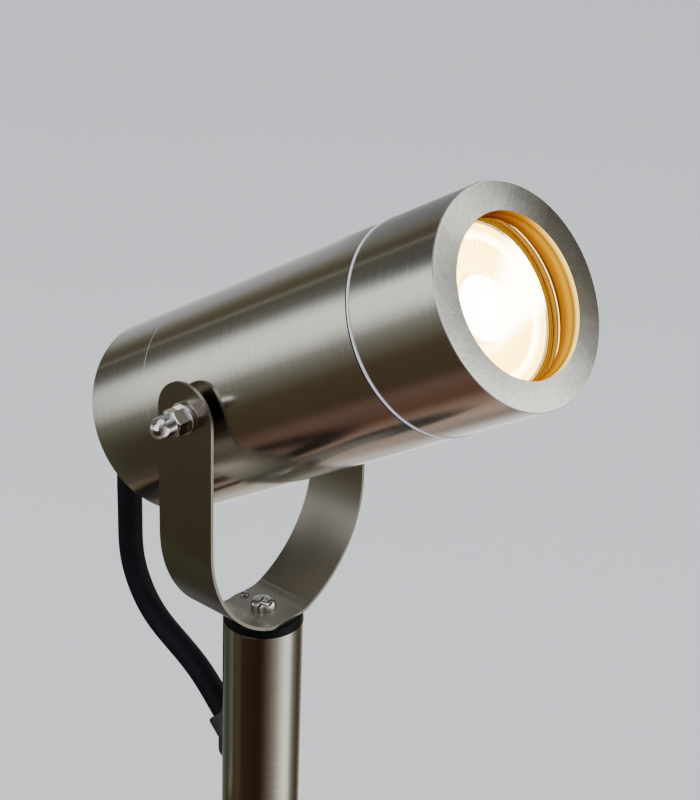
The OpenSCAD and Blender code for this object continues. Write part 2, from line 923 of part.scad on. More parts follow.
module gland_body() {
    color([0.1, 0.1, 0.1])
        in_head()
            difference() {
                union() {
                    translate([0, 0, -rear_len])
                        rotate([180, 0, 0])
                            hexagon(19, gland_hex, 0.6);
                    translate([0, 0, -rear_len])
                        cylinder(h = cap_end + gland_lock_t + 2.5, r = gland_r);
                    translate([0, 0, gland_mouth + gland_lid])
                        cylinder(h = -rear_len - gland_mouth - gland_lid, r = gland_stub_r);
                }
                translate([0, 0, gland_mouth])
                    cylinder(h = jacket_end - gland_mouth, r = lead_r + 0.2);
                translate([0, 0, gland_mouth + gland_lid - 1])
                    cylinder(h = seal_pocket_len + 1, r = seal_pocket_r);
            }
}

module gland_locknut() {
    color([0.1, 0.1, 0.1])
        in_head()
            difference() {
                translate([0, 0, cap_inner])
                    hexagon(22, gland_lock_t, 0.6);
                translate([0, 0, cap_inner - 1])
                    cylinder(h = gland_lock_t + 2, r = gland_r + seat_gap);
            }
}

module gland_seal() {
    color([0.06, 0.06, 0.06])
        in_head()
            ring(gland_mouth + gland_lid, gland_mouth + gland_lid + seal_pocket_len - 0.1,
                seal_pocket_r - seat_gap, lead_r + seat_gap);
}

// Domed nut that squeezes the seal on to the lead
module gland_nut() {
    color([0.1, 0.1, 0.1])
        in_head()
            difference() {
                translate([0, 0, -rear_len - gland_hex])
                    rotate([180, 0, 0])
                        union() {
                            cylinder(h = gland_nut_len - 2, r = 9);
                            translate([0, 0, gland_nut_len - 2])
                                cylinder(h = 2, r1 = 9, r2 = 6.5);
                            for (turn = [0 : 30 : 330])
                                rotate([0, 0, turn])
                                    translate([9, 0, 0])
                                        cylinder(h = gland_nut_len - 2, r = 0.7, $fn = 16);
                        }
                translate([0, 0, gland_mouth + gland_lid])
                    cylinder(h = gland_nut_len, r = gland_stub_r + seat_gap);
                translate([0, 0, gland_mouth - 1])
                    cylinder(h = 5, r = lead_r + 0.2);
            }
}

// Front sleeve, glass and lamp

module front_sleeve() {
    color([0.55, 0.54, 0.5])
        in_head()
            rotate_extrude($fn = 120)
                polygon([
                    [sleeve_bore_r, sleeve_rear], [head_r - edge / 2, sleeve_rear],
                    [head_r, sleeve_rear + edge / 2], [head_r, front_face - edge],
                    [head_r - edge, front_face], [aperture_r + edge / 2, front_face],
                    [aperture_r, front_face - edge / 2], [aperture_r, glass_front],
                    [sleeve_bore_r, glass_front],
                ]);
}

module front_glass() {
    color([0.85, 0.9, 0.9, 0.4])
        in_head()
            translate([0, 0, glass_back])
                cylinder(h = glass_t, r = glass_r);
}

module glass_gasket() {
    color([0.85, 0.85, 0.82])
        in_head()
            ring(gasket_back, glass_back, glass_r, lamp_r - gasket_lap);
}

// Lamp body: bell, waist and base round a hollow for the board and the lens
module lamp_housing() {
    color([0.93, 0.93, 0.92])
        in_head()
            rotate_extrude($fn = 96)
                polygon([
                    [0, lamp_shoulder], [9, lamp_shoulder], [9.5, lamp_shoulder + 0.5],
                    [9.5, lamp_shoulder + 14], [12, lamp_shoulder + 17], [16, lamp_face - 24],
                    [21, lamp_face - 15], [lamp_r - 1, lamp_face - 8], [lamp_r, lamp_face - 6],
                    [lamp_r, lamp_face - 0.5], [lamp_r - 0.5, lamp_face], [lamp_r - 2, lamp_face],
                    [lamp_r - 2, lamp_face - 5], [lamp_r - 4, lamp_face - 7], [0, lamp_face - 7],
                ]);
}

module lamp_board() {
    color([0.95, 0.85, 0.4])
        in_head() {
            translate([0, 0, lamp_face - 7])
                cylinder(h = 1.2, r = lamp_r - 5);
            translate([0, 0, lamp_face - 6])
                cylinder(h = 0.6, r = 4.5);
        }
}

// Lens with a raised middle, a dished band and a flat rim
module lamp_lens() {
    color([1, 0.95, 0.8, 0.8])
        in_head()
            rotate_extrude($fn = 96)
                polygon([
                    [0, lamp_face - 5], [lamp_r - 2 - seat_gap, lamp_face - 5],
                    [lamp_r - 2 - seat_gap, lamp_face - 0.3], [lamp_r - 4, lamp_face - 0.3],
                    [lamp_r - 6, lamp_face - 1.2], [10, lamp_face - 2.2], [9.6, lamp_face - 1.4],
                    [8.5, lamp_face - 0.8], [6, lamp_face - 0.3], [3, lamp_face - 0.05], [0, lamp_face],
                ]);
}

// Two headed pins that lock in the holder's keyholes
module lamp_pins() {
    color([0.8, 0.8, 0.78])
        in_head()
            both_sides()
                translate([pin_r, 0, 0]) {
                    translate([0, 0, lamp_shoulder - pin_neck_l])
                        cylinder(h = pin_neck_l, d = pin_neck_d, $fn = 32);
                    translate([0, 0, pin_end])
                        cylinder(h = pin_head_l, d = pin_head_d, $fn = 32);
                }
}

spike();
socket_screw();
pole();
pole_cap();
yoke();
yoke_screw();
yoke_pin();
pole_grommet();
foot_grommet();
pole_lead();
head_lead();
supply_run();
supply_coil();
end_core_live();
end_core_neutral();
end_core_earth();
ferrules();
head_tube();
rear_cap();
cap_seal();
thread_collar();
seam_seal();
pivot_bolts();
pivot_spacers();
pivot_washers();
pivot_nuts();
holder_bracket();
lamp_holder();
holder_screws();
terminal_block();
terminal_screws();
earth_screw();
lead_end();
core_live();
core_neutral();
core_earth();
holder_leads();
gland_body();
gland_locknut();
gland_seal();
gland_nut();
front_sleeve();
front_glass();
glass_gasket();
lamp_housing();
lamp_board();
lamp_lens();
lamp_pins();
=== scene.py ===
import math

import bpy
from mathutils import Matrix, Vector


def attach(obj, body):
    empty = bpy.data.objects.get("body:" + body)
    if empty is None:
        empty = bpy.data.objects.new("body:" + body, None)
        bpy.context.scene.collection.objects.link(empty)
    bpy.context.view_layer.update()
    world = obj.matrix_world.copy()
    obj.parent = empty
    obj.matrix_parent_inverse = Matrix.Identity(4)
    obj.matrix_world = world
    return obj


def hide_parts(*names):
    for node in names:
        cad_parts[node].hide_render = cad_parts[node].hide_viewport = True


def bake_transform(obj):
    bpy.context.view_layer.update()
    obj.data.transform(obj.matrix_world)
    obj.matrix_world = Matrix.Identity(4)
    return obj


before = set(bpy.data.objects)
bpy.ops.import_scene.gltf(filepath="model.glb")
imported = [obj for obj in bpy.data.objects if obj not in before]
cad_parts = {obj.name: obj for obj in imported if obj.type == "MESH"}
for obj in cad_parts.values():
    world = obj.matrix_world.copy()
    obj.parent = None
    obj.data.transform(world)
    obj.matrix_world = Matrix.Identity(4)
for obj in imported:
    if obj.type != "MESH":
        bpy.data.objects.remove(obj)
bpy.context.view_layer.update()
print("The packed part is loaded")

mm = 0.001
fullTurn = math.tau
weldGap = 2e-6


def turned(degrees, axis):
    return Matrix.Rotation(math.radians(degrees), 4, axis)


def moved(x, y, z):
    return Matrix.Translation((x * mm, y * mm, z * mm))


# The camera of the photograph

cameraSetup = {
    "place": (-0.34554, -0.32468, 0.48460), "azimuth": -49.704, "elevation": 25.484, "roll": 2.125,
    "lens": 81.46, "nearEnd": 0.01,
}


def makeCamera(setup):
    camera = bpy.data.objects.new("camera", bpy.data.cameras.new("camera"))
    bpy.context.collection.objects.link(camera)
    camera.data.lens = setup["lens"]
    camera.data.clip_start = setup["nearEnd"]
    spot = Matrix.Translation(setup["place"]) @ turned(setup["azimuth"], "Z")
    camera.matrix_world = spot @ turned(90 - setup["elevation"], "X") @ turned(setup["roll"], "Z")
    bpy.context.scene.camera = camera


makeCamera(cameraSetup)
print("The camera stands")


# Modelling by hand: small steps that the pieces share

def pickOnly(piece):
    if bpy.context.object and bpy.context.object.mode != "OBJECT":
        bpy.ops.object.mode_set(mode="OBJECT")
    bpy.ops.object.select_all(action="DESELECT")
    piece.select_set(True)
    bpy.context.view_layer.objects.active = piece


def editAll(piece):
    pickOnly(piece)
    bpy.ops.object.mode_set(mode="EDIT")
    bpy.ops.mesh.select_all(action="SELECT")


def leaveEdit():
    bpy.ops.object.mode_set(mode="OBJECT")


# Opens the piece in edit mode with only the vertices picked that the test names
def editWhere(piece, test):
    editAll(piece)
    bpy.ops.mesh.select_mode(type="VERT")
    bpy.ops.mesh.select_all(action="DESELECT")
    leaveEdit()
    for vertex in piece.data.vertices:
        vertex.select = test(vertex.co)
    bpy.ops.object.mode_set(mode="EDIT")


# Bakes a place into the mesh, or else the place that the piece already has
def settle(piece, spot=None):
    pickOnly(piece)
    if spot:
        piece.matrix_world = spot
    bpy.ops.object.transform_apply(location=True, rotation=True, scale=True)
    return piece


# Adds a modifier with its settings and applies it
def modify(piece, kind, **settings):
    pickOnly(piece)
    bpy.ops.object.modifier_add(type=kind)
    modifier = piece.modifiers[-1]
    for key, value in settings.items():
        setattr(modifier, key, value)
    bpy.ops.object.modifier_apply(modifier=modifier.name)


def softenEdges(piece, width, segments=2, angle=35):
    modify(piece, "BEVEL", width=width * mm, segments=segments, limit_method="ANGLE",
           angle_limit=math.radians(angle))


def smoothSkin(piece, angle=40):
    pickOnly(piece)
    bpy.ops.object.shade_smooth_by_angle(angle=math.radians(angle))
    modify(piece, "WEIGHTED_NORMAL", keep_sharp=True)


def combine(piece, tool, operation):
    modify(piece, "BOOLEAN", operation=operation, solver="EXACT", object=tool)
    bpy.data.objects.remove(tool)


def closeSkin(piece):
    editAll(piece)
    bpy.ops.mesh.remove_doubles(threshold=weldGap)
    bpy.ops.mesh.normals_make_consistent(inside=False)
    leaveEdit()


# A closed chain of edges in the XZ plane, drawn corner after corner in mm
def drawOutline(name, corners):
    bpy.ops.mesh.primitive_plane_add(size=mm)
    piece = bpy.context.object
    piece.name = name
    editAll(piece)
    bpy.ops.mesh.merge(type="CENTER")
    route = [(x * mm, z * mm) for x, z in corners + corners[:1]]
    bpy.ops.transform.translate(value=(route[0][0], 0, route[0][1]))
    for (x, z), (nextX, nextZ) in zip(route, route[1:]):
        step = (nextX - x, 0, nextZ - z)
        bpy.ops.mesh.extrude_vertices_move(TRANSFORM_OT_translate={"value": step})
    bpy.ops.mesh.select_all(action="SELECT")
    bpy.ops.mesh.remove_doubles(threshold=weldGap / 2)
    leaveEdit()
    return piece


# A turned piece: the outline, given as radius and height in mm, spun round Z
def turnPiece(name, outline, steps=96):
    piece = drawOutline(name, outline)
    editAll(piece)
    bpy.ops.mesh.spin(steps=steps, angle=fullTurn, center=(0, 0, 0), axis=(0, 0, 1))
    closeSkin(piece)
    return piece


# The outline of a dome from its foot to the axis
def crown(radius, foot, rise, steps, power=1):
    angles = [step / steps * math.pi / 2 for step in range(1, steps)]
    arc = [(radius * math.cos(angle) ** power, foot + rise * math.sin(angle)) for angle in angles]
    return arc + [(0, foot + rise)]


def joinPieces(name, pieces):
    pickOnly(pieces[0])
    for piece in pieces:
        piece.select_set(True)
    bpy.ops.object.join()
    pieces[0].name = name
    return pieces[0]


def copyOf(piece, spot):
    pickOnly(piece)
    bpy.ops.object.duplicate(linked=False)
    return settle(bpy.context.object, spot)


def addCylinder(radius, bottom, top, sides=64):
    bpy.ops.mesh.primitive_cylinder_add(
        vertices=sides, radius=radius * mm, depth=(top - bottom) * mm,
        location=(0, 0, (top + bottom) / 2 * mm))
    return settle(bpy.context.object)


def addBlock(low, high):
    bpy.ops.mesh.primitive_cube_add(size=1)
    piece = bpy.context.object
    piece.scale = [(b - a) * mm for a, b in zip(low, high)]
    piece.location = [(a + b) / 2 * mm for a, b in zip(low, high)]
    return settle(piece)


# A hexagon with its corners turned off at 30 degrees, from just inside its flats
def hexPiece(name, acrossFlats, height, chamfer, turn=0):
    corner = acrossFlats / math.sqrt(3)
    flat = acrossFlats / 2 * 0.96
    fallPastCorner = 0.58
    piece = settle(addCylinder(corner, 0, height, 6), turned(turn, "Z"))
    piece.name = name
    cone = turnPiece("turnedTool", [
        (0, -1), (corner + 1, -1), (corner + 1, height - chamfer - fallPastCorner), (flat, height),
        (0, height),
    ])
    combine(piece, cone, "INTERSECT")
    return piece


def paint(piece, *finishes):
    piece.data.materials.clear()
    for finish in finishes:
        piece.data.materials.append(finish)


# Gives a finish's number to the faces that a test picks by centre and normal
def paintFaces(piece, number, test):
    for face in piece.data.polygons:
        if test(face.center, face.normal):
            face.material_index = number


# Hands a piece over: its finish, its place, its body and the CAD nodes that it replaces
def place(piece, body, slot, *nodes, finish=None, spot=None):
    if finish:
        paint(piece, finish)
    if spot:
        settle(piece, spot)
    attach(piece, body)
    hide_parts(*nodes)


# The head's own frame: origin at the pivot, +Z along the beam

headFrame = {"pivotHeight": 263.5, "tilt": 31.4}
headTurn = math.radians(90 - headFrame["tilt"])
headPlace = moved(0, 0, headFrame["pivotHeight"]) @ Matrix.Rotation(headTurn, 4, "X")


# Finishes: shader maths in plain expressions

class Flow:
    def __init__(self, finish, socket):
        self.finish = finish
        self.socket = socket

    def maths(self, operation, *values):
        return self.finish.node("ShaderNodeMath", {"operation": operation}, self, *values)

    def __add__(self, other):
        return self.maths("ADD", other)

    __radd__ = __add__

    def __sub__(self, other):
        return self.maths("SUBTRACT", other)

    def __rsub__(self, other):
        return (self * -1) + other

    def __mul__(self, other):
        return self.maths("MULTIPLY", other)

    def __truediv__(self, other):
        return self.maths("DIVIDE", other)

    def __pow__(self, other):
        return self.maths("POWER", other)


class Finish:
    def __init__(self, owner):
        owner.use_nodes = True
        self.owner = owner
        self.tree = owner.node_tree
        self.tree.nodes.clear()

    # Adds a node: its settings first, then its sockets in order or by name
    def node(self, kind, settings=None, *values, out=0, **named):
        made = self.tree.nodes.new(kind)
        for key, value in (settings or {}).items():
            setattr(made, key, value)
        for number, value in enumerate(values):
            self.feed(made.inputs[number], value)
        for name, value in named.items():
            self.feed(made.inputs[name.replace("_", " ")], value)
        return Flow(self, made.outputs[out]) if made.outputs else None

    def feed(self, socket, value):
        if isinstance(value, Flow):
            self.tree.links.new(value.socket, socket)
        elif socket.type == "RGBA":
            socket.default_value = (*value, 1)
        else:
            socket.default_value = value

    def split(self, vector):
        parts = self.node("ShaderNodeSeparateXYZ", None, vector)
        return [Flow(self, output) for output in parts.socket.node.outputs]

    def gather(self, x, y, z):
        return self.node("ShaderNodeCombineXYZ", None, x, y, z)

    def noise(self, vector, scale, detail=3, roughness=0.5):
        return self.node("ShaderNodeTexNoise", None, Vector=vector, Scale=scale, Detail=detail,
                         Roughness=roughness)

    # Noise that is stretched by a scale of its own along each axis
    def streaks(self, parts, scales, detail=3, roughness=0.6):
        stretched = self.gather(*[part * scale for part, scale in zip(parts, scales)])
        return self.noise(stretched, 1, detail, roughness)

    def mixColours(self, factor, first, second, blend="MIX"):
        mixer = self.node("ShaderNodeMix", {"data_type": "RGBA", "blend_type": blend}, out=2)
        sockets = mixer.socket.node.inputs
        for socket, value in ((sockets[0], factor), (sockets[6], first), (sockets[7], second)):
            self.feed(socket, value)
        return mixer

    def multiply(self, colour, shade):
        return self.mixColours(1.0, colour, shade, "MULTIPLY")

    # A ramp: each stop has its position and a colour, or one number for a grey
    def ramp(self, value, stops, end=1):
        made = self.node("ShaderNodeValToRGB", None, value)
        elements = made.socket.node.color_ramp.elements
        while len(elements) < len(stops):
            elements.new(1)
        for element, (position, *colour) in zip(elements, stops):
            element.position = position / end
            element.color = (*(colour if len(colour) == 3 else colour * 3), 1)
        return made

    # The same round an axis: the positions are degrees
    def rampRound(self, angle, stops):
        return self.ramp((angle / fullTurn).maths("FRACT"), stops, 360)

    def between(self, value, low, high, toLow=0.0, toHigh=1.0, kind="SMOOTHSTEP"):
        return self.node("ShaderNodeMapRange", {"interpolation_type": kind},
                         value, low, high, toLow, toHigh)

    def bump(self, height, distance):
        return self.node("ShaderNodeBump", None, Height=height, Distance=distance * mm)

    def surface(self, **sockets):
        shader = self.node("ShaderNodeBsdfPrincipled", None, **sockets)
        self.node("ShaderNodeOutputMaterial", None, shader)
        return self.owner


# A new finish, and the place on the piece in its own frame or in the head's
def newFinish(name, inHead=False):
    finish = Finish(bpy.data.materials.new(name))
    spot = finish.node("ShaderNodeTexCoord", out="Object")
    if inHead:
        shift = Matrix.Rotation(-headTurn, 4, "X") @ Vector((0, 0, -headFrame["pivotHeight"] * mm))
        spot = finish.node("ShaderNodeMapping", None, spot, Location=tuple(shift),
                           Rotation=(-headTurn, 0, 0))
    return finish, spot


def radiusOf(x, y):
    return (x * x + y * y).maths("SQRT")


def angleOf(x, y):
    return y.maths("ARCTAN2", x)


steelColour = {"light": (0.63, 0.62, 0.57), "dark": (0.53, 0.515, 0.46)}


# Stainless steel brushed round the local Z axis: fine lines run round, streaks and stains stay faint
def brushedRound(name, inHead):
    finish, spot = newFinish(name, inHead)
    parts = finish.split(spot)
    lines = finish.streaks(parts, (70, 70, 7000), 2)
    broad = finish.streaks(parts, (40, 40, 1600))
    cloud = finish.noise(spot, 38)
    tone = finish.between(lines * 0.55 + broad * 0.25 + cloud * 0.2, 0.35, 0.65, kind="LINEAR")
    colour = finish.mixColours(tone, steelColour["dark"], steelColour["light"])
    rough = 0.13 + broad * 0.05 + lines * 0.04 - 0.03
    normal = finish.bump(lines * 0.75 + broad * 0.25, 0.0032)
    return finish.surface(Base_Color=colour, Metallic=1.0, Roughness=rough, Normal=normal)


# Painted light and shade of the brushed face round its axis, angle in degrees
facePaintedShade = [
    (0, 0.068), (36, 0.068), (60, 0.18), (84, 0.50), (106, 0.76), (122, 0.70), (134, 0.49), (156, 0.37),
    (180, 0.44), (204, 0.63), (236, 0.88), (262, 0.98), (288, 0.60), (312, 0.235), (335, 0.11), (360, 0.068),
]


# Colours of the painted light and shade: lit steel is nearly neutral, shaded steel is brown
def steelShade(tone):
    green, blue = (0.99, 0.925) if tone > 0.15 else (0.90, 0.70)
    return (tone, tone * green, tone * blue)


# The sleeve's front face: short strokes that run roughly from the opening to the rim, with light and shade
# painted round its axis and across its width
def brushedAcross(name):
    finish, spot = newFinish(name, inHead=True)
    x, y, z = finish.split(spot)
    radius, angle = radiusOf(x, y), angleOf(x, y)
    bend = finish.noise(spot, 150, 2)
    grain = angle + radius * 20 + bend * 0.035
    parts = (grain.maths("COSINE"), grain.maths("SINE"), radius)
    strokes = finish.streaks(parts, (78, 78, 330), 3, 0.75)
    fine = finish.streaks(parts, (170, 170, 620), 2, 0.7)
    tone = finish.between(strokes * 0.5 + fine * 0.5, 0.36, 0.64, 0.66, 1.3, kind="LINEAR")
    # Painted shade across the face: its outer part darker on one side and lighter on the other
    paintedShadeLean = (x * 0.94 + y * 0.34) / radius
    middleOfFace = 26.0
    tone = tone * (1.0 - (radius / mm - middleOfFace) * 0.08 * paintedShadeLean)
    # Painted light and shade round the axis
    paintedShades = finish.rampRound(angle + (bend - 0.5) * 0.3,
                              [(degrees, *steelShade(bright)) for degrees, bright in facePaintedShade])
    colour = finish.multiply(paintedShades, finish.gather(tone, tone, tone))
    normal = finish.bump(strokes * 0.6 + fine * 0.4, 0.012)
    return finish.surface(Base_Color=colour, Metallic=1.0, Roughness=0.36 + fine * 0.1, Normal=normal)


# Lamp light painted on the wall of the opening as glow, light and shade: round its axis in degrees, and from
# its back to its front
wallPaintedLight = [
    (0, 0.93, 0.42, 0.0), (28, 0.82, 0.34, 0.0), (50, 0.44, 0.13, 0.0), (75, 0.12, 0.018, 0.0),
    (100, 0.16, 0.04, 0.0), (180, 0.40, 0.15, 0.0), (268, 0.54, 0.20, 0.0), (298, 0.88, 0.38, 0.0),
    (360, 0.93, 0.42, 0.0),
]
wallPaintedBands = [
    (0.0, 0.44, 0.32, 0.3), (0.20, 0.66, 0.52, 0.4), (0.34, 0.95, 0.92, 0.7), (0.46, 1.3),
    (0.60, 1.2, 1.2, 1.3), (0.70, 0.66, 0.64, 0.7), (0.80, 1.3, 1.35, 1.4), (1.0, 2.0, 2.3, 2.4),
]


# The wall of the opening with the lamp's light painted on as glow, a painted highlight along its front lip on
# one side, and turned rings
def paintedLampGlow(name, back, front):
    finish, spot = newFinish(name, inHead=True)
    x, y, z = finish.split(spot)
    rings = finish.streaks((x, y, z), (30, 30, 1500))
    specks = finish.noise(spot, 1400, 3, 0.7)
    depth = finish.between(z, back * mm, front * mm, kind="LINEAR")
    depth = depth + (rings - 0.5) * 0.12 * finish.between(depth, 0.0, 0.2)
    angle = angleOf(x, y) + (specks - 0.5) * 0.35 - depth * 0.12
    colour = finish.multiply(finish.rampRound(angle, wallPaintedLight), finish.ramp(depth, wallPaintedBands))
    # Painted highlight along the front lip on one side
    edge = finish.between(depth, 0.74, 1.0) * finish.between(x * 0.9 - y * 0.43, 0.004, 0.018)
    colour = finish.mixColours(edge * 0.85, colour, (3.4, 2.2, 0.4))
    return finish.surface(Base_Color=(0.012, 0.005, 0.001), Roughness=0.5, Specular_IOR_Level=0.0,
                          Emission_Color=colour, Emission_Strength=1.0, Normal=finish.bump(rings, 0.01))


# Seal and lamp rim with the lamp's light painted on as glow: bright lips and amber grooves, told apart by
# their depth, one side painted brighter
def paintedRingGlow(name, low, high, stops):
    finish, spot = newFinish(name, inHead=True)
    x, y, z = finish.split(spot)
    depth = finish.between(z - radiusOf(x, y) * 0.5, low * mm, high * mm, kind="LINEAR")
    wearAndGlowJitter = finish.noise(spot, 260, 3, 0.6)
    # Painted light: one side brighter
    paintedSideLight = finish.between(x - y * 0.6 + wearAndGlowJitter * 0.004, -0.016, 0.022, 0.6, 1.0)
    rings = finish.ramp(depth + (wearAndGlowJitter - 0.5) * 0.02, stops)
    colour = finish.multiply(rings, finish.gather(paintedSideLight, paintedSideLight, paintedSideLight))
    return finish.surface(Base_Color=(0.03, 0.012, 0.002), Roughness=0.5, Specular_IOR_Level=0.05,
                          Emission_Color=colour, Emission_Strength=1.5, Normal=finish.bump(wearAndGlowJitter, 0.01))


# Plating and turned metal, as on nuts, screws and washers
def plated(name, colour, roughness):
    finish, spot = newFinish(name)
    haze = finish.noise(spot, 900, 3, 0.55)
    tone = finish.mixColours(haze, [part * 0.94 for part in colour], colour)
    return finish.surface(Base_Color=tone, Metallic=1.0, Roughness=roughness + haze * 0.06,
                          Normal=finish.bump(haze, 0.002))


# Moulded plastic with a fine grain
def moulded(name, colour, roughness, grain=0.01, shade=0.8, sheen=0.5):
    finish, spot = newFinish(name)
    cloud = finish.noise(spot, 120)
    pits = finish.noise(spot, 2600, 2, 0.6)
    tone = finish.mixColours(cloud, [part * shade for part in colour], colour)
    return finish.surface(Base_Color=tone, Roughness=roughness + cloud * 0.12, Specular_IOR_Level=sheen,
                          Normal=finish.bump(pits, grain))


# Rubber sheath of the lead, with fine pits and a bluish bloom
def rubberSheath(name):
    finish, spot = newFinish(name)
    cloud = finish.noise(spot, 70, 3, 0.6)
    pits = finish.noise(spot, 1900, 3, 0.6)
    colour = finish.mixColours(cloud, (0.0020, 0.0022, 0.0030), (0.0060, 0.0066, 0.0095))
    return finish.surface(Base_Color=colour, Roughness=0.52 + cloud * 0.14, Specular_IOR_Level=0.12,
                          Normal=finish.bump(pits, 0.02))


def clearGlass(name):
    finish, spot = newFinish(name)
    facing = finish.node("ShaderNodeLayerWeight", None, 0.5, out="Facing")
    smear = finish.noise(spot, 60)
    return finish.surface(Base_Color=(0.97, 1.0, 0.99), Metallic=1.0, Roughness=0.02 + smear * 0.03,
                          Alpha=0.02 + facing ** 5 * 0.9)


lensSizes = {"face": 89, "rim": 22.95, "band": 19, "dome": 9.6, "ridges": 72, "ridgeDepth": 0.3}
lensZones = [
    (0.0, 1.3, 1.25, 1.15), (0.37, 1.1, 1.0, 0.82), (0.405, 0.40, 0.21, 0.004), (0.44, 0.85, 0.56, 0.08),
    (0.50, 0.62, 0.37, 0.01), (0.78, 0.55, 0.31, 0.006), (0.82, 1.15, 0.95, 0.50), (0.90, 0.62, 0.38, 0.03),
    (0.955, 0.70, 0.48, 0.08), (0.975, 0.10, 0.04, 0.0), (1.0, 0.03, 0.01, 0.0),
]


# The lit lens: plain rim, a band of fine ridges and a bright middle
def litLens(name):
    finish, spot = newFinish(name, inHead=True)
    x, y, z = finish.split(spot)
    ridges = (angleOf(x, y) * lensSizes["ridges"]).maths("SINE") * 0.5 + 0.5
    share = radiusOf(x, y) / (lensSizes["rim"] * mm)
    band = finish.between(share, 0.44, 0.5) * finish.between(share, 0.84, 0.76)
    darker = finish.mixColours(band * ridges * 0.5, finish.ramp(share, lensZones), (0.95, 0.68, 0.16))
    hot = finish.between(x * 0.75 - y * 0.66, 0.001, 0.009) * finish.between(x * 0.2 - y, 0.013, 0.007)
    colour = finish.mixColours(hot * 0.8, darker, (1.2, 1.12, 0.9))
    return finish.surface(Base_Color=(0.9, 0.85, 0.75), Roughness=0.2, Emission_Color=colour,
                          Emission_Strength=14.0)


# Two-coloured earth core
def twoColours(name, green, yellow):
    finish, spot = newFinish(name)
    x, y, z = finish.split(spot)
    stripe = finish.between((x * 900).maths("SINE") + (z * 1400).maths("SINE"), -0.1, 0.1)
    return finish.surface(Base_Color=finish.mixColours(stripe, green, yellow), Roughness=0.4)


# Satin strip of the yoke, ground lengthwise
def satinStrip(name, dark, light, roughness):
    finish, spot = newFinish(name)
    lines = finish.streaks(finish.split(spot), (70, 2400, 70))
    cloud = finish.noise(spot, 45, 2)
    colour = finish.mixColours(lines * 0.4 + cloud * 0.6, dark, light)
    return finish.surface(Base_Color=colour, Metallic=1.0, Roughness=roughness + lines * 0.05,
                          Normal=finish.bump(lines, 0.0012))


# Painted lamp glow on the seal and on the lamp's rim, by depth
amberGlow = (0.20, 0.06, 0.001)
lipHighlightGlow = (3.4, 2.7, 1.3)
sealGlowStops = [
    (0.0, *amberGlow), (0.14, 0.42, 0.18, 0.002), (0.20, *amberGlow), (0.34, 0.34, 0.13, 0.001),
    (0.42, 0.55, 0.25, 0.004), (0.50, 0.24, 0.08, 0.001), (0.70, 0.13, 0.035, 0.001),
    (0.86, 0.16, 0.045, 0.001), (0.89, *lipHighlightGlow), (1.0, *lipHighlightGlow),
]
rimGlowStops = [
    (0.0, *amberGlow), (0.30, 0.46, 0.20, 0.003), (0.45, 0.24, 0.08, 0.001), (0.70, 0.50, 0.22, 0.004),
    (0.85, *amberGlow), (1.0, 0.55, 0.26, 0.004),
]

tubeSteel = brushedRound("tubeSteel", True)
poleSteel = brushedRound("poleSteel", False)
faceSteel = brushedAcross("faceSteel")
stripSteel = satinStrip("stripSteel", (0.38, 0.355, 0.30), (0.52, 0.495, 0.44), 0.30)
# A darker copy of the strip steel, painted as shade on the arms
armShadedSteel = satinStrip("armShadedSteel", (0.23, 0.20, 0.155), (0.34, 0.305, 0.25), 0.23)
edgeSteel = plated("edgeSteel", (0.92, 0.91, 0.88), 0.3)
chromePlate = plated("chromePlate", (0.86, 0.86, 0.87), 0.06)
screwPlate = plated("screwPlate", (0.74, 0.74, 0.75), 0.14)
darkPlate = plated("darkPlate", (0.36, 0.36, 0.37), 0.1)
zincPlate = plated("zincPlate", (0.66, 0.67, 0.66), 0.3)
turnedAluminium = plated("turnedAluminium", (0.76, 0.76, 0.75), 0.24)
brassMetal = plated("brassMetal", (0.75, 0.56, 0.26), 0.22)
tinnedCopper = plated("tinnedCopper", (0.78, 0.76, 0.72), 0.25)
blackPlastic = moulded("blackPlastic", (0.004, 0.004, 0.0045), 0.3, sheen=0.12)
spikePlastic = moulded("spikePlastic", (0.018, 0.018, 0.019), 0.38, grain=0.03)
# Black rubber; the same finish is painted as shade on the seam's shadow line and inside the sleeve
rubberAndShadowBlack = moulded("rubberAndShadowBlack", (0.016, 0.016, 0.017), 0.5, grain=0.02)
paleSeal = moulded("paleSeal", (0.78, 0.76, 0.86), 0.22)
whitePlastic = moulded("whitePlastic", (0.82, 0.81, 0.78), 0.35, shade=0.94)
glazedCeramic = moulded("glazedCeramic", (0.86, 0.83, 0.76), 0.15, shade=0.95)
phosphorBoard = moulded("phosphorBoard", (0.90, 0.74, 0.25), 0.5, shade=0.9)
brownCore = moulded("brownCore", (0.16, 0.06, 0.025), 0.4)
blueCore = moulded("blueCore", (0.03, 0.12, 0.42), 0.4)
earthCore = twoColours("earthCore", (0.10, 0.33, 0.05), (0.85, 0.70, 0.05))
leadRubber = rubberSheath("leadRubber")
glassClear = clearGlass("glassClear")
lensLit = litLens("lensLit")
sealPaintedGlow = paintedRingGlow("sealPaintedGlow", 77.2, 79.6, sealGlowStops)
rimPaintedGlow = paintedRingGlow("rimPaintedGlow", 76.5, 77.6, rimGlowStops)
print("The finishes are mixed")


# Leads and cores: tubes along their routes

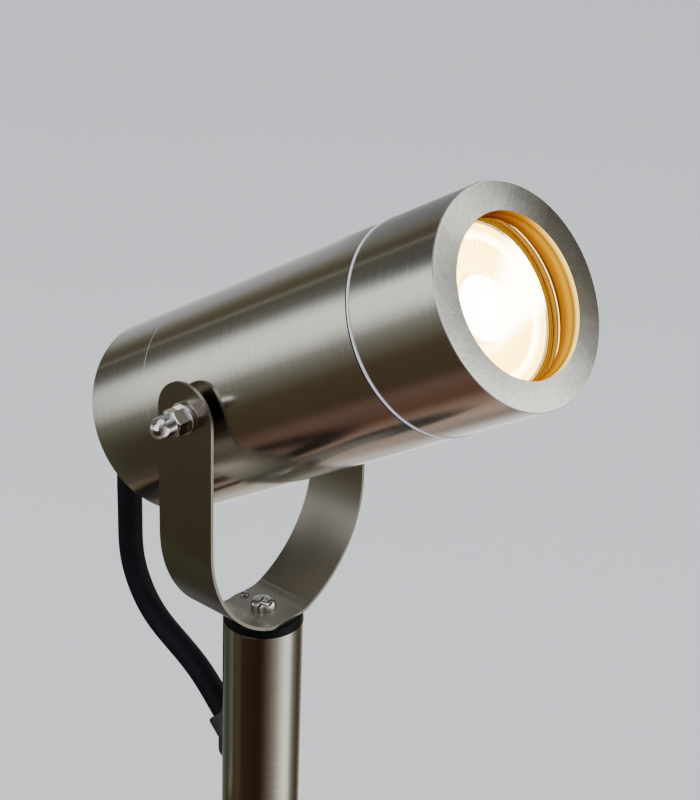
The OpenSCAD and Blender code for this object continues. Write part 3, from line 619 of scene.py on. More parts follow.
leadFacts = {
    "radius": 4,
    "fromGland": [
        (0, 44.4, 236.4), (0, 47.8, 234.3), (0, 51.1, 231.6), (0, 54, 228.2), (0, 56.5, 224.2),
        (0, 58.3, 219.6), (0, 59.4, 214.6), (0, 59.8, 209), (0, 59.8, 202), (0, 59.8, 195),
        (0, 59.8, 188), (0, 59.2, 182), (0, 57.6, 176.4), (0, 54.9, 171), (0, 51.3, 166.3),
        (0, 46.8, 162.4), (0, 41.5, 159.3), (0, 36.2, 156.6), (0, 31.2, 153.8), (0, 26.6, 150.6),
        (0, 22, 146.5), (0, 16.74, 141.24),
    ],
    "inPole": [
        (0, 16.74, 141.24), (0, 9.6, 134.1), (0, 6, 129.8), (0, 3.3, 125), (0, 1.4, 119.8),
        (0, 0.5, 114.6), (0, 0.3, 109), (0, 0.3, 84), (0, 0.3, 59), (0, 0.5, 53.4), (0, 1.4, 48.2),
        (0, 3.3, 43), (0, 6, 38.2), (0, 9.6, 33.9), (0, 16.74, 26.76),
    ],
    "toGround": [
        (0, 16.74, 26.76), (0, 21.5, 22), (0, 26.2, 17.3), (0, 30.8, 13), (0, 35.7, 9.6),
        (0, 41.2, 6.9), (0, 47, 5), (0, 53, 4.1), (0, 60, 4), (0, 67, 4),
    ],
    "coilStart": (0, 75, 4),
}
coilFacts = {
    "pitch": 8.6, "step": 8.8, "climbTurns": 0.5, "innerRadius": 32, "turnsIn": 2.75, "turnsOut": 2.5,
    "ringsATurn": 48,
}


def inMetres(points):
    return [Vector(point) * mm for point in points]


# A curve through the points, with more points between them
def smoothRoute(points, cuts=4):
    ends = [2 * points[0] - points[1], *points, 2 * points[-1] - points[-2]]
    route = []
    for before, start, end, after in zip(ends, ends[1:], ends[2:], ends[3:]):
        for cut in range(cuts):
            t = cut / cuts
            route.append(0.5 * (2 * start + (end - before) * t
                                + (2 * before - 5 * start + 4 * end - after) * t ** 2
                                + (3 * start - before - 3 * end + after) * t ** 3))
    return route + [points[-1]]


def routeLength(route):
    return sum((b - a).length for a, b in zip(route, route[1:]))


def makeTube(name, route, radius, finish, roundness=6):
    line = bpy.data.curves.new(name, "CURVE")
    line.dimensions = "3D"
    line.bevel_depth = radius * mm
    line.bevel_resolution = roundness
    line.use_fill_caps = True
    spline = line.splines.new("POLY")
    spline.points.add(len(route) - 1)
    for point, spot in zip(spline.points, route):
        point.co = (*spot, 1)
    tube = bpy.data.objects.new(name, line)
    bpy.context.collection.objects.link(tube)
    pickOnly(tube)
    bpy.ops.object.convert(target="MESH")
    tube = bpy.context.object
    closeSkin(tube)
    bpy.ops.object.shade_smooth_by_angle(angle=math.radians(50))
    paint(tube, finish)
    return tube


def coilRoute(facts, start):
    outerRadius = facts["innerRadius"] + facts["pitch"] * facts["turnsIn"]
    centre = Vector(start) - Vector((outerRadius, 0, 0))
    rings = round((facts["turnsIn"] + facts["turnsOut"]) * facts["ringsATurn"])
    route = []
    for ring in range(rings + 1):
        turn = ring / facts["ringsATurn"]
        fromMiddle = turn - facts["turnsIn"]
        radius = facts["innerRadius"] + facts["pitch"] * abs(fromMiddle)
        climb = min(max((fromMiddle + facts["climbTurns"] / 2) / facts["climbTurns"], 0), 1)
        angle = fullTurn * turn
        spot = Vector((radius * math.cos(angle), radius * math.sin(angle), facts["step"] * climb))
        route.append((centre + spot) * mm)
    return route


leadRadius = leadFacts["radius"]
headRoute = smoothRoute(inMetres(leadFacts["fromGland"]))
headLead = makeTube("headLead", headRoute, leadRadius, leadRubber)

coilLine = coilRoute(coilFacts, leadFacts["coilStart"])
endWay = (coilLine[-1] - coilLine[-2]).normalized()
supplyEnd = coilLine[-1] + endWay * 2 * leadRadius * mm
groundRoute = smoothRoute(inMetres(leadFacts["toGround"]) + [coilLine[0]])
supplyRoute = groundRoute + coilLine[1:] + [supplyEnd]
supplyLead = makeTube("supplyLead", supplyRoute, leadRadius, leadRubber, 5)

poleRoute = smoothRoute(inMetres(leadFacts["inPole"]), 3)
poleLead = makeTube("poleLead", poleRoute, leadRadius, leadRubber)
print("Leads: head %.4f m, in the pole %.4f m, supply %.4f m" % (
    routeLength(headRoute), routeLength(poleRoute), routeLength(supplyRoute)))


# The bare end: three splayed cores with crimped ferrules

bareEnd = {
    "bare": 26, "coreRadius": 1.2, "root": 4, "spreadAtRoot": 0.2,
    "spreads": {"live": (9, -1.2), "neutral": (-9, -1.2), "earth": (0, 1.4)},
    "ferruleRadius": 0.85, "ferruleLength": 9, "crimps": 0.15, "collar": 0.65,
}
coreKinds = {
    "live": (brownCore, "core_brown"),
    "neutral": (blueCore, "core_blue"),
    "earth": (earthCore, "core_green_yellow"),
}
endSide = Vector((-endWay.y, endWay.x, 0))


def endCoreRoute(spread, lift):
    root = supplyEnd + (endSide * spread * bareEnd["spreadAtRoot"] + Vector((0, 0, lift))) * mm
    bend = root + endWay * bareEnd["root"] * mm
    tip = bend + (endWay * bareEnd["bare"] + endSide * spread) * mm
    return smoothRoute([root, bend, (bend + tip) / 2, tip])


def makeFerrule(name, core):
    way = (core[-1] - core[-2]).normalized()
    outer, length = bareEnd["ferruleRadius"], bareEnd["ferruleLength"]
    collar, crimped = outer + bareEnd["collar"], outer - bareEnd["crimps"]
    ferrule = turnPiece(name, [
        (0, 0.05), (collar, 0.05), (collar, 2.4), (outer, 3), (outer, 5), (crimped, 5.4), (outer, 5.8),
        (crimped, 6.2), (outer, 6.6), (outer, length), (0, length),
    ], steps=24)
    smoothSkin(ferrule)
    paint(ferrule, tinnedCopper)
    return settle(ferrule, Matrix.Translation(core[-1]) @ way.to_track_quat("Z", "Y").to_matrix().to_4x4())


ferrules = []
for kind, (finish, slot) in coreKinds.items():
    coreRoute = endCoreRoute(*bareEnd["spreads"][kind])
    core = makeTube("endCore" + kind.title(), coreRoute, bareEnd["coreRadius"], finish, 3)
    place(core, "root", slot, "end_core_" + kind)
    ferrules.append(makeFerrule("ferrule" + kind.title(), coreRoute))
for ferrule in ferrules:
    place(ferrule, "root", "tinned_copper", "ferrules")

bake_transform(headLead)
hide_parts("head_lead")
round(routeLength(headRoute), 4)
place(supplyLead, "root", "cable_rubber", "supply_run", "supply_coil")
round(routeLength(supplyRoute), 4)
place(poleLead, "root", "cable_rubber", "pole_lead")
print("The leads are laid")


# Head tube and rear cap

headRadius = 30
seamEdge = 0.08
tubeSizes = {"bore": 28.5, "rear": -19, "front": 69, "frontEdge": 0.35}
capSizes = {
    "seam": tubeSizes["rear"], "rear": -45.5, "wall": 3, "edge": 0.5, "spigot": 28.45, "bore": 27,
    "end": -11, "hole": 8.05,
}


def makeHeadTube(bore, rear, front, frontEdge):
    tube = turnPiece("headTube", [
        (bore, rear), (headRadius - seamEdge, rear), (headRadius, rear + seamEdge),
        (headRadius, front - frontEdge), (headRadius - frontEdge, front), (bore, front),
    ], steps=160)
    smoothSkin(tube)
    paint(tube, tubeSteel, rubberAndShadowBlack)
    # The front chamfer and end face are painted black as the seam's shadow line
    paintFaces(tube, 1, lambda centre, normal: normal.z > 0.3)
    place(tube, "head", "brushed_steel", "head_tube", spot=headPlace)


def makeRearCap(seam, rear, wall, edge, spigot, bore, end, hole):
    cap = turnPiece("rearCap", [
        (hole, rear), (headRadius - edge, rear), (headRadius - edge * 0.3, rear + edge * 0.3),
        (headRadius, rear + edge), (headRadius, seam - seamEdge), (headRadius - seamEdge, seam),
        (spigot, seam), (spigot, end), (bore, end), (bore, rear + wall), (hole, rear + wall),
    ], steps=160)
    smoothSkin(cap)
    paint(cap, tubeSteel, faceSteel)
    # The rear face takes the face steel with its painted light and shade
    paintFaces(cap, 1, lambda centre, normal: normal.z < -0.9 and centre.z < (rear + 0.1) * mm)
    place(cap, "head", "brushed_steel", "rear_cap", spot=headPlace)


makeHeadTube(**tubeSizes)
makeRearCap(**capSizes)


# Front sleeve, seam ring, glass and gasket

sleeveSizes = {
    "bore": 27.83, "rear": 70, "front": 100.5, "back": 94.5, "opening": 21.75, "rim": 0.4, "rearEdge": 0.2,
    "innerEdge": 0.25,
}
sealSizes = {
    "inner": 27.85, "outer": 30.3, "rear": tubeSizes["front"], "front": sleeveSizes["rear"], "play": 0.03,
}
glassSizes = {"radius": 27.53, "back": 91.5, "wall": sleeveSizes["back"], "edge": 0.4, "play": 0.01}
gasketSizes = {"bore": 24.2, "radius": glassSizes["radius"], "back": 89.5, "front": glassSizes["back"]}
wallPaintedGlow = paintedLampGlow("wallPaintedGlow", sleeveSizes["back"], sleeveSizes["front"])


def isWithin(centre, reach):
    return math.hypot(centre.x, centre.y) < reach * mm


def makeSleeve(bore, rear, front, back, opening, rim, rearEdge, innerEdge):
    sleeve = turnPiece("frontSleeve", [
        (bore, rear), (headRadius - rearEdge, rear), (headRadius, rear + rearEdge),
        (headRadius, front - rim), (headRadius - rim * 0.3, front - rim * 0.3), (headRadius - rim, front),
        (opening + innerEdge, front), (opening, front - innerEdge), (opening, back), (bore, back),
    ], steps=160)
    smoothSkin(sleeve)
    paint(sleeve, tubeSteel, faceSteel, wallPaintedGlow, edgeSteel, rubberAndShadowBlack)
    # The back faces and the bore are painted dull black so they mirror none of the lamp's light; the rim's
    # chamfers take the edge steel, the front face the face steel with painted light and shade, the opening's
    # wall the painted lamp glow
    paintFaces(sleeve, 4, lambda centre, normal: normal.z < -0.9 or isWithin(centre, bore + 0.1))
    paintFaces(sleeve, 3, lambda centre, normal: 0.2 < normal.z < 0.97 and centre.z > (front - 1) * mm)
    paintFaces(sleeve, 1, lambda centre, normal: normal.z > 0.97)
    paintFaces(sleeve, 2, lambda centre, normal: isWithin(centre, opening + 0.2) and normal.z < 0.9)
    place(sleeve, "sleeve", "brushed_steel", "front_sleeve", spot=headPlace)


# A pale ring whose rear third is painted black as the shadow in the seam's gap
def makeSeamSeal(inner, outer, rear, front, play):
    seal = turnPiece("seamSeal", [
        (inner, rear + play), (outer - 0.55, rear + play), (outer - 0.5, rear + 0.32),
        (outer - 0.1, rear + 0.36), (outer, rear + 0.5), (outer, front - 0.2), (outer - 0.2, front - play),
        (inner, front - play),
    ], steps=160)
    paint(seal, paleSeal, rubberAndShadowBlack)
    paintFaces(seal, 1, lambda centre, normal: centre.z < (rear + 0.34) * mm)
    smoothSkin(seal)
    place(seal, "head", "pale_seal", "seam_seal", spot=headPlace)


def makeGlass(radius, back, wall, edge, play):
    front = wall - play
    glass = turnPiece("frontGlass", [
        (0, back + play), (radius - edge, back + play), (radius, back + edge), (radius, front - edge),
        (radius - edge, front), (0, front),
    ])
    smoothSkin(glass)
    place(glass, "glass_unit", "clear_glass", "front_glass", finish=glassClear, spot=headPlace)


# A ring with two soft lips on its inner wall, the lamp's light painted on it as glow
def makeGasket(bore, radius, back, front):
    gasket = turnPiece("glassGasket", [
        (radius, back), (radius, front), (bore + 0.1, front), (bore - 0.15, front - 0.25),
        (bore + 0.05, front - 0.55), (bore + 0.3, front - 0.9), (bore + 0.05, front - 1.25),
        (bore - 0.15, back + 0.3), (bore + 0.1, back),
    ], steps=128)
    smoothSkin(gasket, 60)
    place(gasket, "glass_unit", "pale_seal", "glass_gasket", finish=sealPaintedGlow, spot=headPlace)


makeSleeve(**sleeveSizes)
makeSeamSeal(**sealSizes)
makeGlass(**glassSizes)
makeGasket(**gasketSizes)
print("The head's shells are turned")


# Lamp: its housing and the lens

housingSizes = {"shoulder": 35, "neck": 9.5, "radius": 25, "mouth": 23, "face": lensSizes["face"]}


def makeLampHousing(shoulder, neck, radius, mouth, face):
    housing = turnPiece("lampHousing", [
        (0, shoulder), (neck - 0.5, shoulder), (neck, shoulder + 0.5), (neck, shoulder + 14),
        (12, shoulder + 17), (16, face - 24), (21, face - 15), (radius - 1, face - 8), (radius, face - 6),
        (radius, face - 0.5), (radius - 0.5, face), (mouth, face), (mouth, face - 5), (mouth - 2, face - 7),
        (0, face - 7),
    ])
    softenEdges(housing, 0.15)
    smoothSkin(housing)
    paint(housing, whitePlastic, rimPaintedGlow)
    # The front rim takes the painted lamp glow
    paintFaces(housing, 1, lambda centre, normal: centre.z > (face - 0.7) * mm)
    place(housing, "lamp", "white_plastic", "lamp_housing", spot=headPlace)


# The lens is spun with two steps to a ridge, and every other spoke of its band is pressed in
def makeLens(face, rim, band, dome, ridges, ridgeDepth):
    lens = turnPiece("lampLens", [
        (0, face - 5), (rim, face - 5), (rim, face - 0.3), (band + 2, face - 0.3), (band + 0.6, face - 0.45),
        (band, face - 1.2), (14.5, face - 1.75), (dome + 0.6, face - 2.2), (dome, face - 1.5),
        (8.5, face - 0.8), (6, face - 0.3), (3, face - 0.05), (0, face),
    ], steps=2 * ridges)
    for vertex in lens.data.vertices:
        radius = math.hypot(vertex.co.x, vertex.co.y) / mm
        spoke = round(math.atan2(vertex.co.y, vertex.co.x) / fullTurn * 2 * ridges)
        if dome + 0.3 < radius < band + 0.3 and spoke % 2 and vertex.co.z > (face - 4) * mm:
            vertex.co.z -= ridgeDepth * mm
    smoothSkin(lens, 70)
    place(lens, "lamp", "lamp_lens", "lamp_lens", finish=lensLit, spot=headPlace)


makeLampHousing(**housingSizes)
makeLens(**lensSizes)
print("The lamp is in")


# Yoke: an arm's outline spun round the bend, run to the middle, mirrored, thickened

yokeBase = 187
yokeThickness = 1
pivotAbove = 76.5
shadedInnerFrom = 240
armSizes = {"width": 21, "armOut": 33.1, "bendRadius": 39, "flatHalf": 7, "near": 0.01}
yokeHoles = {"pivotHole": 2.58, "screwHole": 2.05}


def bendArms(width, armOut, bendRadius, flatHalf, near):
    bendX = armOut - bendRadius
    reach = flatHalf - bendX
    bendZ = math.sqrt(bendRadius ** 2 - reach ** 2)
    sweep = math.pi / 2 - math.asin(reach / bendRadius)
    bpy.ops.mesh.primitive_circle_add(
        vertices=64, radius=width / 2 * mm, fill_type="NOTHING", location=(armOut * mm, 0, pivotAbove * mm),
        rotation=(0, math.pi / 2, 0))
    yoke = settle(bpy.context.object)
    yoke.name = "yokeStrip"
    # the lower half of the circle goes, and its two ends run down to the bend
    editWhere(yoke, lambda spot: spot.z < (pivotAbove - near) * mm)
    bpy.ops.mesh.delete(type="VERT")
    editWhere(yoke, lambda spot: abs(spot.z - pivotAbove * mm) < near * mm)
    bpy.ops.mesh.extrude_vertices_move(TRANSFORM_OT_translate={"value": (0, 0, (bendZ - pivotAbove) * mm)})
    bpy.ops.mesh.select_all(action="SELECT")
    bpy.ops.mesh.edge_face_add()
    editWhere(yoke, lambda spot: abs(spot.z - bendZ * mm) < near * mm)
    bpy.ops.mesh.edge_face_add()
    bpy.ops.mesh.spin(steps=28, angle=-sweep, center=(bendX * mm, 0, bendZ * mm), axis=(0, 1, 0))
    bpy.ops.mesh.extrude_region_move(TRANSFORM_OT_translate={"value": (-flatHalf * mm, 0, 0)})
    leaveEdit()
    closeSkin(yoke)
    modify(yoke, "MIRROR")
    softenEdges(yoke, 4, segments=6, angle=12)
    return yoke


# The faces painted with shade: the outer faces of both arms, and the inner face of the arm on the left above
# its bend
def isShadedArmFace(centre, normal):
    isOuter = normal.x * centre.x > 0.8 * abs(centre.x)
    return isOuter or (centre.x < 0 and normal.x > 0.8 and centre.z > shadedInnerFrom * mm)


def finishYoke(yoke, pivotHole, screwHole):
    middle = min(yoke.data.polygons, key=lambda face: abs(face.center.x) + face.center.z)
    modify(yoke, "SOLIDIFY", thickness=yokeThickness * mm, offset=-1 if middle.normal.z < 0 else 1,
           use_even_offset=True)
    closeSkin(yoke)
    drill = settle(addCylinder(pivotHole, -40, 40, 48), moved(0, 0, pivotAbove) @ turned(90, "Y"))
    combine(yoke, drill, "DIFFERENCE")
    combine(yoke, addCylinder(screwHole, -2, 4, 48), "DIFFERENCE")
    softenEdges(yoke, 0.16, segments=3, angle=50)
    smoothSkin(yoke, 25)
    settle(yoke, moved(0, 0, yokeBase))
    # The arms' shaded faces take the darker copy as painted shade
    paint(yoke, stripSteel, armShadedSteel)
    paintFaces(yoke, 1, isShadedArmFace)
    place(yoke, "root", "brushed_strip", "yoke")


finishYoke(bendArms(**armSizes), **yokeHoles)


# Screws with a cross recess, and the locating pin

yokeScrewSizes = {"radius": 3.9, "height": 2.9, "shank": 2, "length": 14.8, "turn": 12}
socketScrewSizes = {"radius": 3.5, "height": 2, "shank": 2, "length": 6.3, "turn": 20}
pinPlace = (0.5, 8.6)

# Shares of the head's radius and height, and how far the slots narrow at their foot
recess = {
    "length": 0.46, "width": 0.085, "floor": 0.45, "middle": 0.6, "footLength": 0.55, "footWidth": 0.7,
}


def crossRecess(radius, height):
    length, width = radius * recess["length"], radius * recess["width"]
    bars = []
    for turn in (0, 90):
        bar = addBlock((-length, -width, height * recess["floor"]), (length, width, height + 1))
        for vertex in bar.data.vertices:
            if vertex.co.z < height * recess["middle"] * mm:
                vertex.co.x *= recess["footLength"]
                vertex.co.y *= recess["footWidth"]
        bars.append(settle(bar, turned(turn, "Z")))
    combine(bars[0], bars[1], "UNION")
    return bars[0]


def panHead(name, radius, height, shank, length, turn):
    rimShare = 0.34
    outline = [(0, -length), (shank - 0.3, -length), (shank, -length + 0.5), (shank, 0), (radius - 0.15, 0),
               (radius, 0.15), (radius, height * rimShare)]
    outline += crown(radius, height * rimShare, height * (1 - rimShare), 10, power=0.8)
    screw = turnPiece(name, outline, steps=64)
    combine(screw, settle(crossRecess(radius, height), turned(turn, "Z")), "DIFFERENCE")
    softenEdges(screw, 0.06, angle=45)
    smoothSkin(screw, 35)
    return screw


def makeYokePin():
    pin = turnPiece("yokePin", [
        (0, -2.8), (0.8, -2.8), (1, -2.6), (1, 1), (1.4, 1), (1.38, 1.4), (1.1, 1.75), (0.6, 1.94), (0, 2),
    ], steps=32)
    smoothSkin(pin)
    place(pin, "root", "chrome", "yoke_pin", finish=darkPlate, spot=moved(*pinPlace, yokeBase))


# Pivot stacks: washers and cap nuts on both sides

washerSizes = {"bore": 2.55, "radius": 4.6, "thick": 1}
nutSizes = {"acrossFlats": 7.2, "length": 11, "dome": 3.2, "rise": 3.6, "hexLength": 4.4, "hexTurn": 14.6}
washerStart = 33.2


# One cap nut along +Z: hexagon, short neck and dome
def makeCapNut(acrossFlats, length, dome, rise, hexLength, hexTurn):
    nut = hexPiece("capNut", acrossFlats, hexLength, 0.5, hexTurn)
    outline = [(0, 1), (dome, 1), (dome, length - rise)] + crown(dome, length - rise, rise, 12)
    combine(nut, turnPiece("domeTool", outline, steps=64), "UNION")
    softenEdges(nut, 0.12, angle=25)
    smoothSkin(nut, 30)
    return nut


def makeWasher(bore, radius, thick):
    washer = turnPiece("washer", [(bore, 0), (radius, 0), (radius, thick), (bore, thick)], steps=64)
    softenEdges(washer, 0.15)
    smoothSkin(washer)
    return washer


def placeOnBothSides(piece, name, distance, node):
    sides = [copyOf(piece, headPlace @ turned(turn, "Y") @ moved(0, 0, distance)) for turn in (90, -90)]
    bpy.data.objects.remove(piece)
    place(joinPieces(name, sides), "head", "chrome", node, finish=chromePlate)


yokeScrew = panHead("yokeScrew", **yokeScrewSizes)
place(yokeScrew, "root", "chrome", "yoke_screw", finish=chromePlate,
      spot=moved(0, 0, yokeBase + yokeThickness))
makeYokePin()
placeOnBothSides(makeCapNut(**nutSizes), "pivotNuts", washerStart + washerSizes["thick"], "pivot_nuts")
placeOnBothSides(makeWasher(**washerSizes), "pivotWashers", washerStart, "pivot_washers")
print("The yoke is bent and fastened")


# Pole, its cap and grommets

poleRadius = 12.5
holeHeights = {"upper": 137, "lower": 31}
poleSizes = {"bore": 11.3, "bottom": -20, "top": 184, "holeRadius": 5.95}
plugSizes = {
    "rim": poleSizes["top"], "rise": 3, "radius": 12.3, "plug": 11.25, "bore": 9.3, "depth": 18, "boss": 5,
    "hole": 2.05,
}
grommetSizes = {"lipRadius": 8, "lipProud": 1.4, "lipReach": 24, "play": 0.05}


def slanting(height, way):
    return moved(0, poleRadius, height) @ turned(-90 + way * 45, "X")


def makePole(bore, bottom, top, holeRadius):
    outline = [(bore, bottom), (poleRadius, bottom), (poleRadius, top), (bore, top)]
    pole = turnPiece("poleTube", outline, steps=128)
    softenEdges(pole, 0.1)
    for height, way in ((holeHeights["upper"], 1), (holeHeights["lower"], -1)):
        combine(pole, settle(addCylinder(holeRadius, -8, 10), slanting(height, way)), "DIFFERENCE")
    smoothSkin(pole, 35)
    place(pole, "root", "brushed_steel", "pole", finish=poleSteel)


def makePoleCap(rim, rise, radius, plug, bore, depth, boss, hole):
    top, foot = rim + rise, rim - depth
    cap = turnPiece("poleCap", [
        (0, top), (11.6, top), (12.05, top - 0.15), (radius, top - 0.5), (radius, rim + 0.15),
        (12.15, rim + 0.02), (plug, rim + 0.02), (plug, foot), (bore, foot), (bore, rim - 3), (boss, rim - 3),
        (boss, foot), (hole, foot), (hole, top - 0.6), (0, top - 0.6),
    ])
    smoothSkin(cap)
    place(cap, "root", "black_plastic", "pole_cap", finish=blackPlastic)


# Rubber sleeve in the lower slanting hole with a saddle-shaped lip on the pole
def makeFootGrommet(lipRadius, lipProud, lipReach, play):
    spot = slanting(holeHeights["lower"], -1)
    lip = settle(addCylinder(lipRadius, -8, 10, 96), spot)
    lip.name = "footGrommet"
    inner, outer = poleRadius + play, poleRadius + lipProud
    low, high = holeHeights["lower"] - lipReach, holeHeights["lower"] + lipReach
    shell = turnPiece("shellTool", [(inner, low), (outer, low), (outer, high), (inner, high)], steps=192)
    combine(lip, shell, "INTERSECT")
    softenEdges(lip, 0.5, segments=3, angle=50)
    sleeve = turnPiece("sleeveTool", [(0, -4), (5.9, -4), (5.9, 5.2), (5.65, 5.75), (5.1, 6), (0, 6)])
    combine(lip, settle(sleeve, spot), "UNION")
    combine(lip, settle(addCylinder(leadRadius + play, -9, 11), spot), "DIFFERENCE")
    smoothSkin(lip, 35)
    paint(lip, rubberAndShadowBlack)
    return lip


# The upper hole slants the other way, so the same grommet goes in turned over
def makePoleGrommet(footGrommet):
    twin = copyOf(footGrommet, moved(0, 0, holeHeights["upper"] + holeHeights["lower"]) @ turned(180, "Y"))
    twin.name = "poleGrommet"
    return twin


makePole(**poleSizes)
makePoleCap(**plugSizes)
footGrommet = makeFootGrommet(**grommetSizes)
place(makePoleGrommet(footGrommet), "root", "rubber", "pole_grommet")
place(footGrommet, "root", "rubber", "foot_grommet")
print("The pole is up")


# Spike: socket, flange and two crossed fins, moulded in one

shellSizes = {
    "bore": 12.55, "socket": 15.55, "top": 18, "foot": -24, "floor": -20, "flange": 30, "thick": 3,
}
finSizes = {"half": 20, "thick": 1.5, "shoulder": -30, "tip": -150}
screwSeat = {"x": 15.6, "z": 9, "hole": 2.05}


def makeSpikeShell(bore, socket, top, foot, floor, flange, thick):
    return turnPiece("spikeBody", [
        (0, foot), (socket - 1, foot), (socket, foot + 1), (socket, -0.8), (flange - 1, 0), (flange, 0.8),
        (flange, thick - 1), (flange - 1, thick), (socket + 2, thick), (socket + 0.6, thick + 0.6),
        (socket, thick + 2), (socket, top - 1), (socket - 0.8, top), (bore + 0.3, top), (bore, top - 0.4),
        (bore, floor), (0, floor),
    ])


def makeFin(half, thick, shoulder, tip):
    fin = drawOutline("finTool", [
        (-half, 0), (-half, shoulder), (-thick, tip), (thick, tip), (half, shoulder), (half, 0),
    ])
    editAll(fin)
    bpy.ops.mesh.edge_face_add()
    bpy.ops.transform.translate(value=(0, -thick * mm, 0))
    bpy.ops.mesh.extrude_region_move(TRANSFORM_OT_translate={"value": (0, 2 * thick * mm, 0)})
    leaveEdit()
    closeSkin(fin)
    softenEdges(fin, 0.5, angle=50)
    return fin


def makeSpike(size):
    body = makeSpikeShell(**size)
    for turn in (0, 90):
        combine(body, settle(makeFin(**finSizes), turned(turn, "Z")), "UNION")
    combine(body, addCylinder(size["bore"], size["floor"], size["top"] + 1, 96), "DIFFERENCE")
    hole = addCylinder(screwSeat["hole"], 0, 17, 32)
    combine(body, settle(hole, moved(0, 0, screwSeat["z"]) @ turned(90, "Y")), "DIFFERENCE")
    smoothSkin(body, 35)
    place(body, "root", "black_plastic", "spike", finish=spikePlastic)


makeSpike(shellSizes)
place(panHead("socketScrew", **socketScrewSizes), "root", "chrome", "socket_screw", finish=screwPlate,
      spot=moved(screwSeat["x"], 0, screwSeat["z"]) @ turned(90, "Y"))
print("The spike is moulded")


# Cable gland, outside the rear cap

leadHole = 4.2
glandSizes = {"hexAf": 19, "hexT": 2.5, "thread": 8, "stem": 7, "bore": 6.4, "throat": -3.5}
glandNutSizes = {"radius": 9, "bore": 7.05, "length": 4, "grips": 24, "gripRadius": 0.45}


def makeGlandBody(hexAf, hexT, thread, stem, bore, throat):
    body = hexPiece("glandBody", hexAf, hexT, 0.4)
    softenEdges(body, 0.2, angle=40)
    tube = turnPiece("stemTool", [
        (leadHole, -8.5), (thread, -8.5), (thread, 1), (stem, 1), (stem, hexT + 2.5), (bore, hexT + 2.5),
        (bore, throat), (leadHole, throat),
    ], steps=64)
    combine(body, addCylinder(bore, -1, 6), "DIFFERENCE")
    combine(body, tube, "UNION")
    return body


def makeGlandNut(radius, bore, length, grips, gripRadius):
    nut = turnPiece("glandNut", [
        (bore, 0), (radius, 0), (radius, 2), (radius - 0.4, 2.9), (7.6, 3.6), (6.4, length),
        (leadHole + 0.3, length), (leadHole, 3.8), (leadHole, 2.5), (bore, 2.5),
    ])
    for step in range(grips):
        angle = step / grips * fullTurn
        spot = moved(radius * math.cos(angle), radius * math.sin(angle), 0)
        combine(nut, settle(addCylinder(gripRadius, 0.2, 2.1, 12), spot), "UNION")
    return nut


def placeGland(piece, start, node):
    smoothSkin(piece, 30)
    place(piece, "head", "black_plastic", node, finish=blackPlastic,
          spot=headPlace @ moved(0, 0, start) @ turned(180, "X"))


placeGland(makeGlandBody(**glandSizes), capSizes["rear"], "gland_body")
placeGland(makeGlandNut(**glandNutSizes), capSizes["rear"] - glandSizes["hexT"], "gland_nut")
print("The gland is on")


# Cores and lead inside the head

innerRoutes = {
    "live": [(-1.5, 0.9, -28), (-1.5, 0.9, -26), (-5, 0, -3), (-5, 0, 6)],
    "neutral": [(1.5, 0.9, -28), (1.5, 0.9, -26), (5, 0, -3), (5, 0, 6)],
    "earth": [(0, -1.7, -28), (0, -1.7, -26), (4, -4, -20), (18, -2, -3), (18, 0, 5), (18, 4, 10),
              (18, 6.5, 16.4)],
    "lead": [(0, 0, -52), (0, 0, -44), (0, 0, -36), (0, 0, -28.5), (0, 0, -28)],
}


def makeInnerLeads():
    for kind, (finish, slot) in coreKinds.items():
        route = [headPlace @ spot for spot in smoothRoute(inMetres(innerRoutes[kind]))]
        core = makeTube("core" + kind.title(), route, bareEnd["coreRadius"], finish, 3)
        place(core, "head", slot, "core_" + kind)
    route = [headPlace @ spot for spot in inMetres(innerRoutes["lead"])]
    place(makeTube("leadEnd", route, leadRadius, leadRubber), "head", "cable_rubber", "lead_end")


makeInnerLeads()


# CAD nodes that stay take a worked finish

keptFinishes = {
    "cap_seal": rubberAndShadowBlack, "thread_collar": turnedAluminium, "pivot_bolts": screwPlate,
    "pivot_spacers": blackPlastic, "holder_bracket": zincPlate, "lamp_holder": glazedCeramic,
    "holder_screws": screwPlate, "terminal_block": whitePlastic, "terminal_screws": brassMetal,
    "earth_screw": brassMetal, "holder_leads": whitePlastic, "gland_locknut": blackPlastic,
    "gland_seal": rubberAndShadowBlack, "lamp_board": phosphorBoard, "lamp_pins": tinnedCopper,
}
for node, finish in keptFinishes.items():
    paint(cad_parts[node], finish)
print("The kept pieces are painted")


# Studio: pale floor, a plinth for the coil, soft light

studio = {
    "floorZ": -0.1506, "floorSize": 12, "plinthLow": (-132, 36, -150.6), "plinthHigh": (16, 150, -0.2),
    "floorColour": (0.80, 0.81, 0.84), "target": (0, 0, 0.2),
}


def paleFinish(name, colour):
    finish, spot = newFinish(name)
    cloud = finish.noise(spot, 2, 2)
    tone = finish.mixColours(cloud, [part * 0.97 for part in colour], colour)
    return finish.surface(Base_Color=tone, Roughness=0.85)


def makeStudio(facts):
    bpy.ops.mesh.primitive_plane_add(size=facts["floorSize"], location=(0, 0, facts["floorZ"]))
    floor = settle(bpy.context.object)
    floor.name = "floor"
    plinth = addBlock(facts["plinthLow"], facts["plinthHigh"])
    plinth.name = "plinth"
    softenEdges(plinth, 3, segments=3)
    smoothSkin(plinth)
    pale = paleFinish("palePaint", facts["floorColour"])
    for piece in (floor, plinth):
        paint(piece, pale)
        piece.visible_glossy = False


def addAreaLight(name, spot, size, power, colour):
    light = bpy.data.objects.new(name, bpy.data.lights.new(name, "AREA"))
    bpy.context.collection.objects.link(light)
    light.data.shape = "RECTANGLE"
    light.data.size, light.data.size_y = size
    light.data.energy = power
    light.data.color = colour
    light.location = spot
    light.rotation_euler = (Vector(studio["target"]) - Vector(spot)).to_track_quat("-Z", "Y").to_euler()
    light.visible_glossy = False


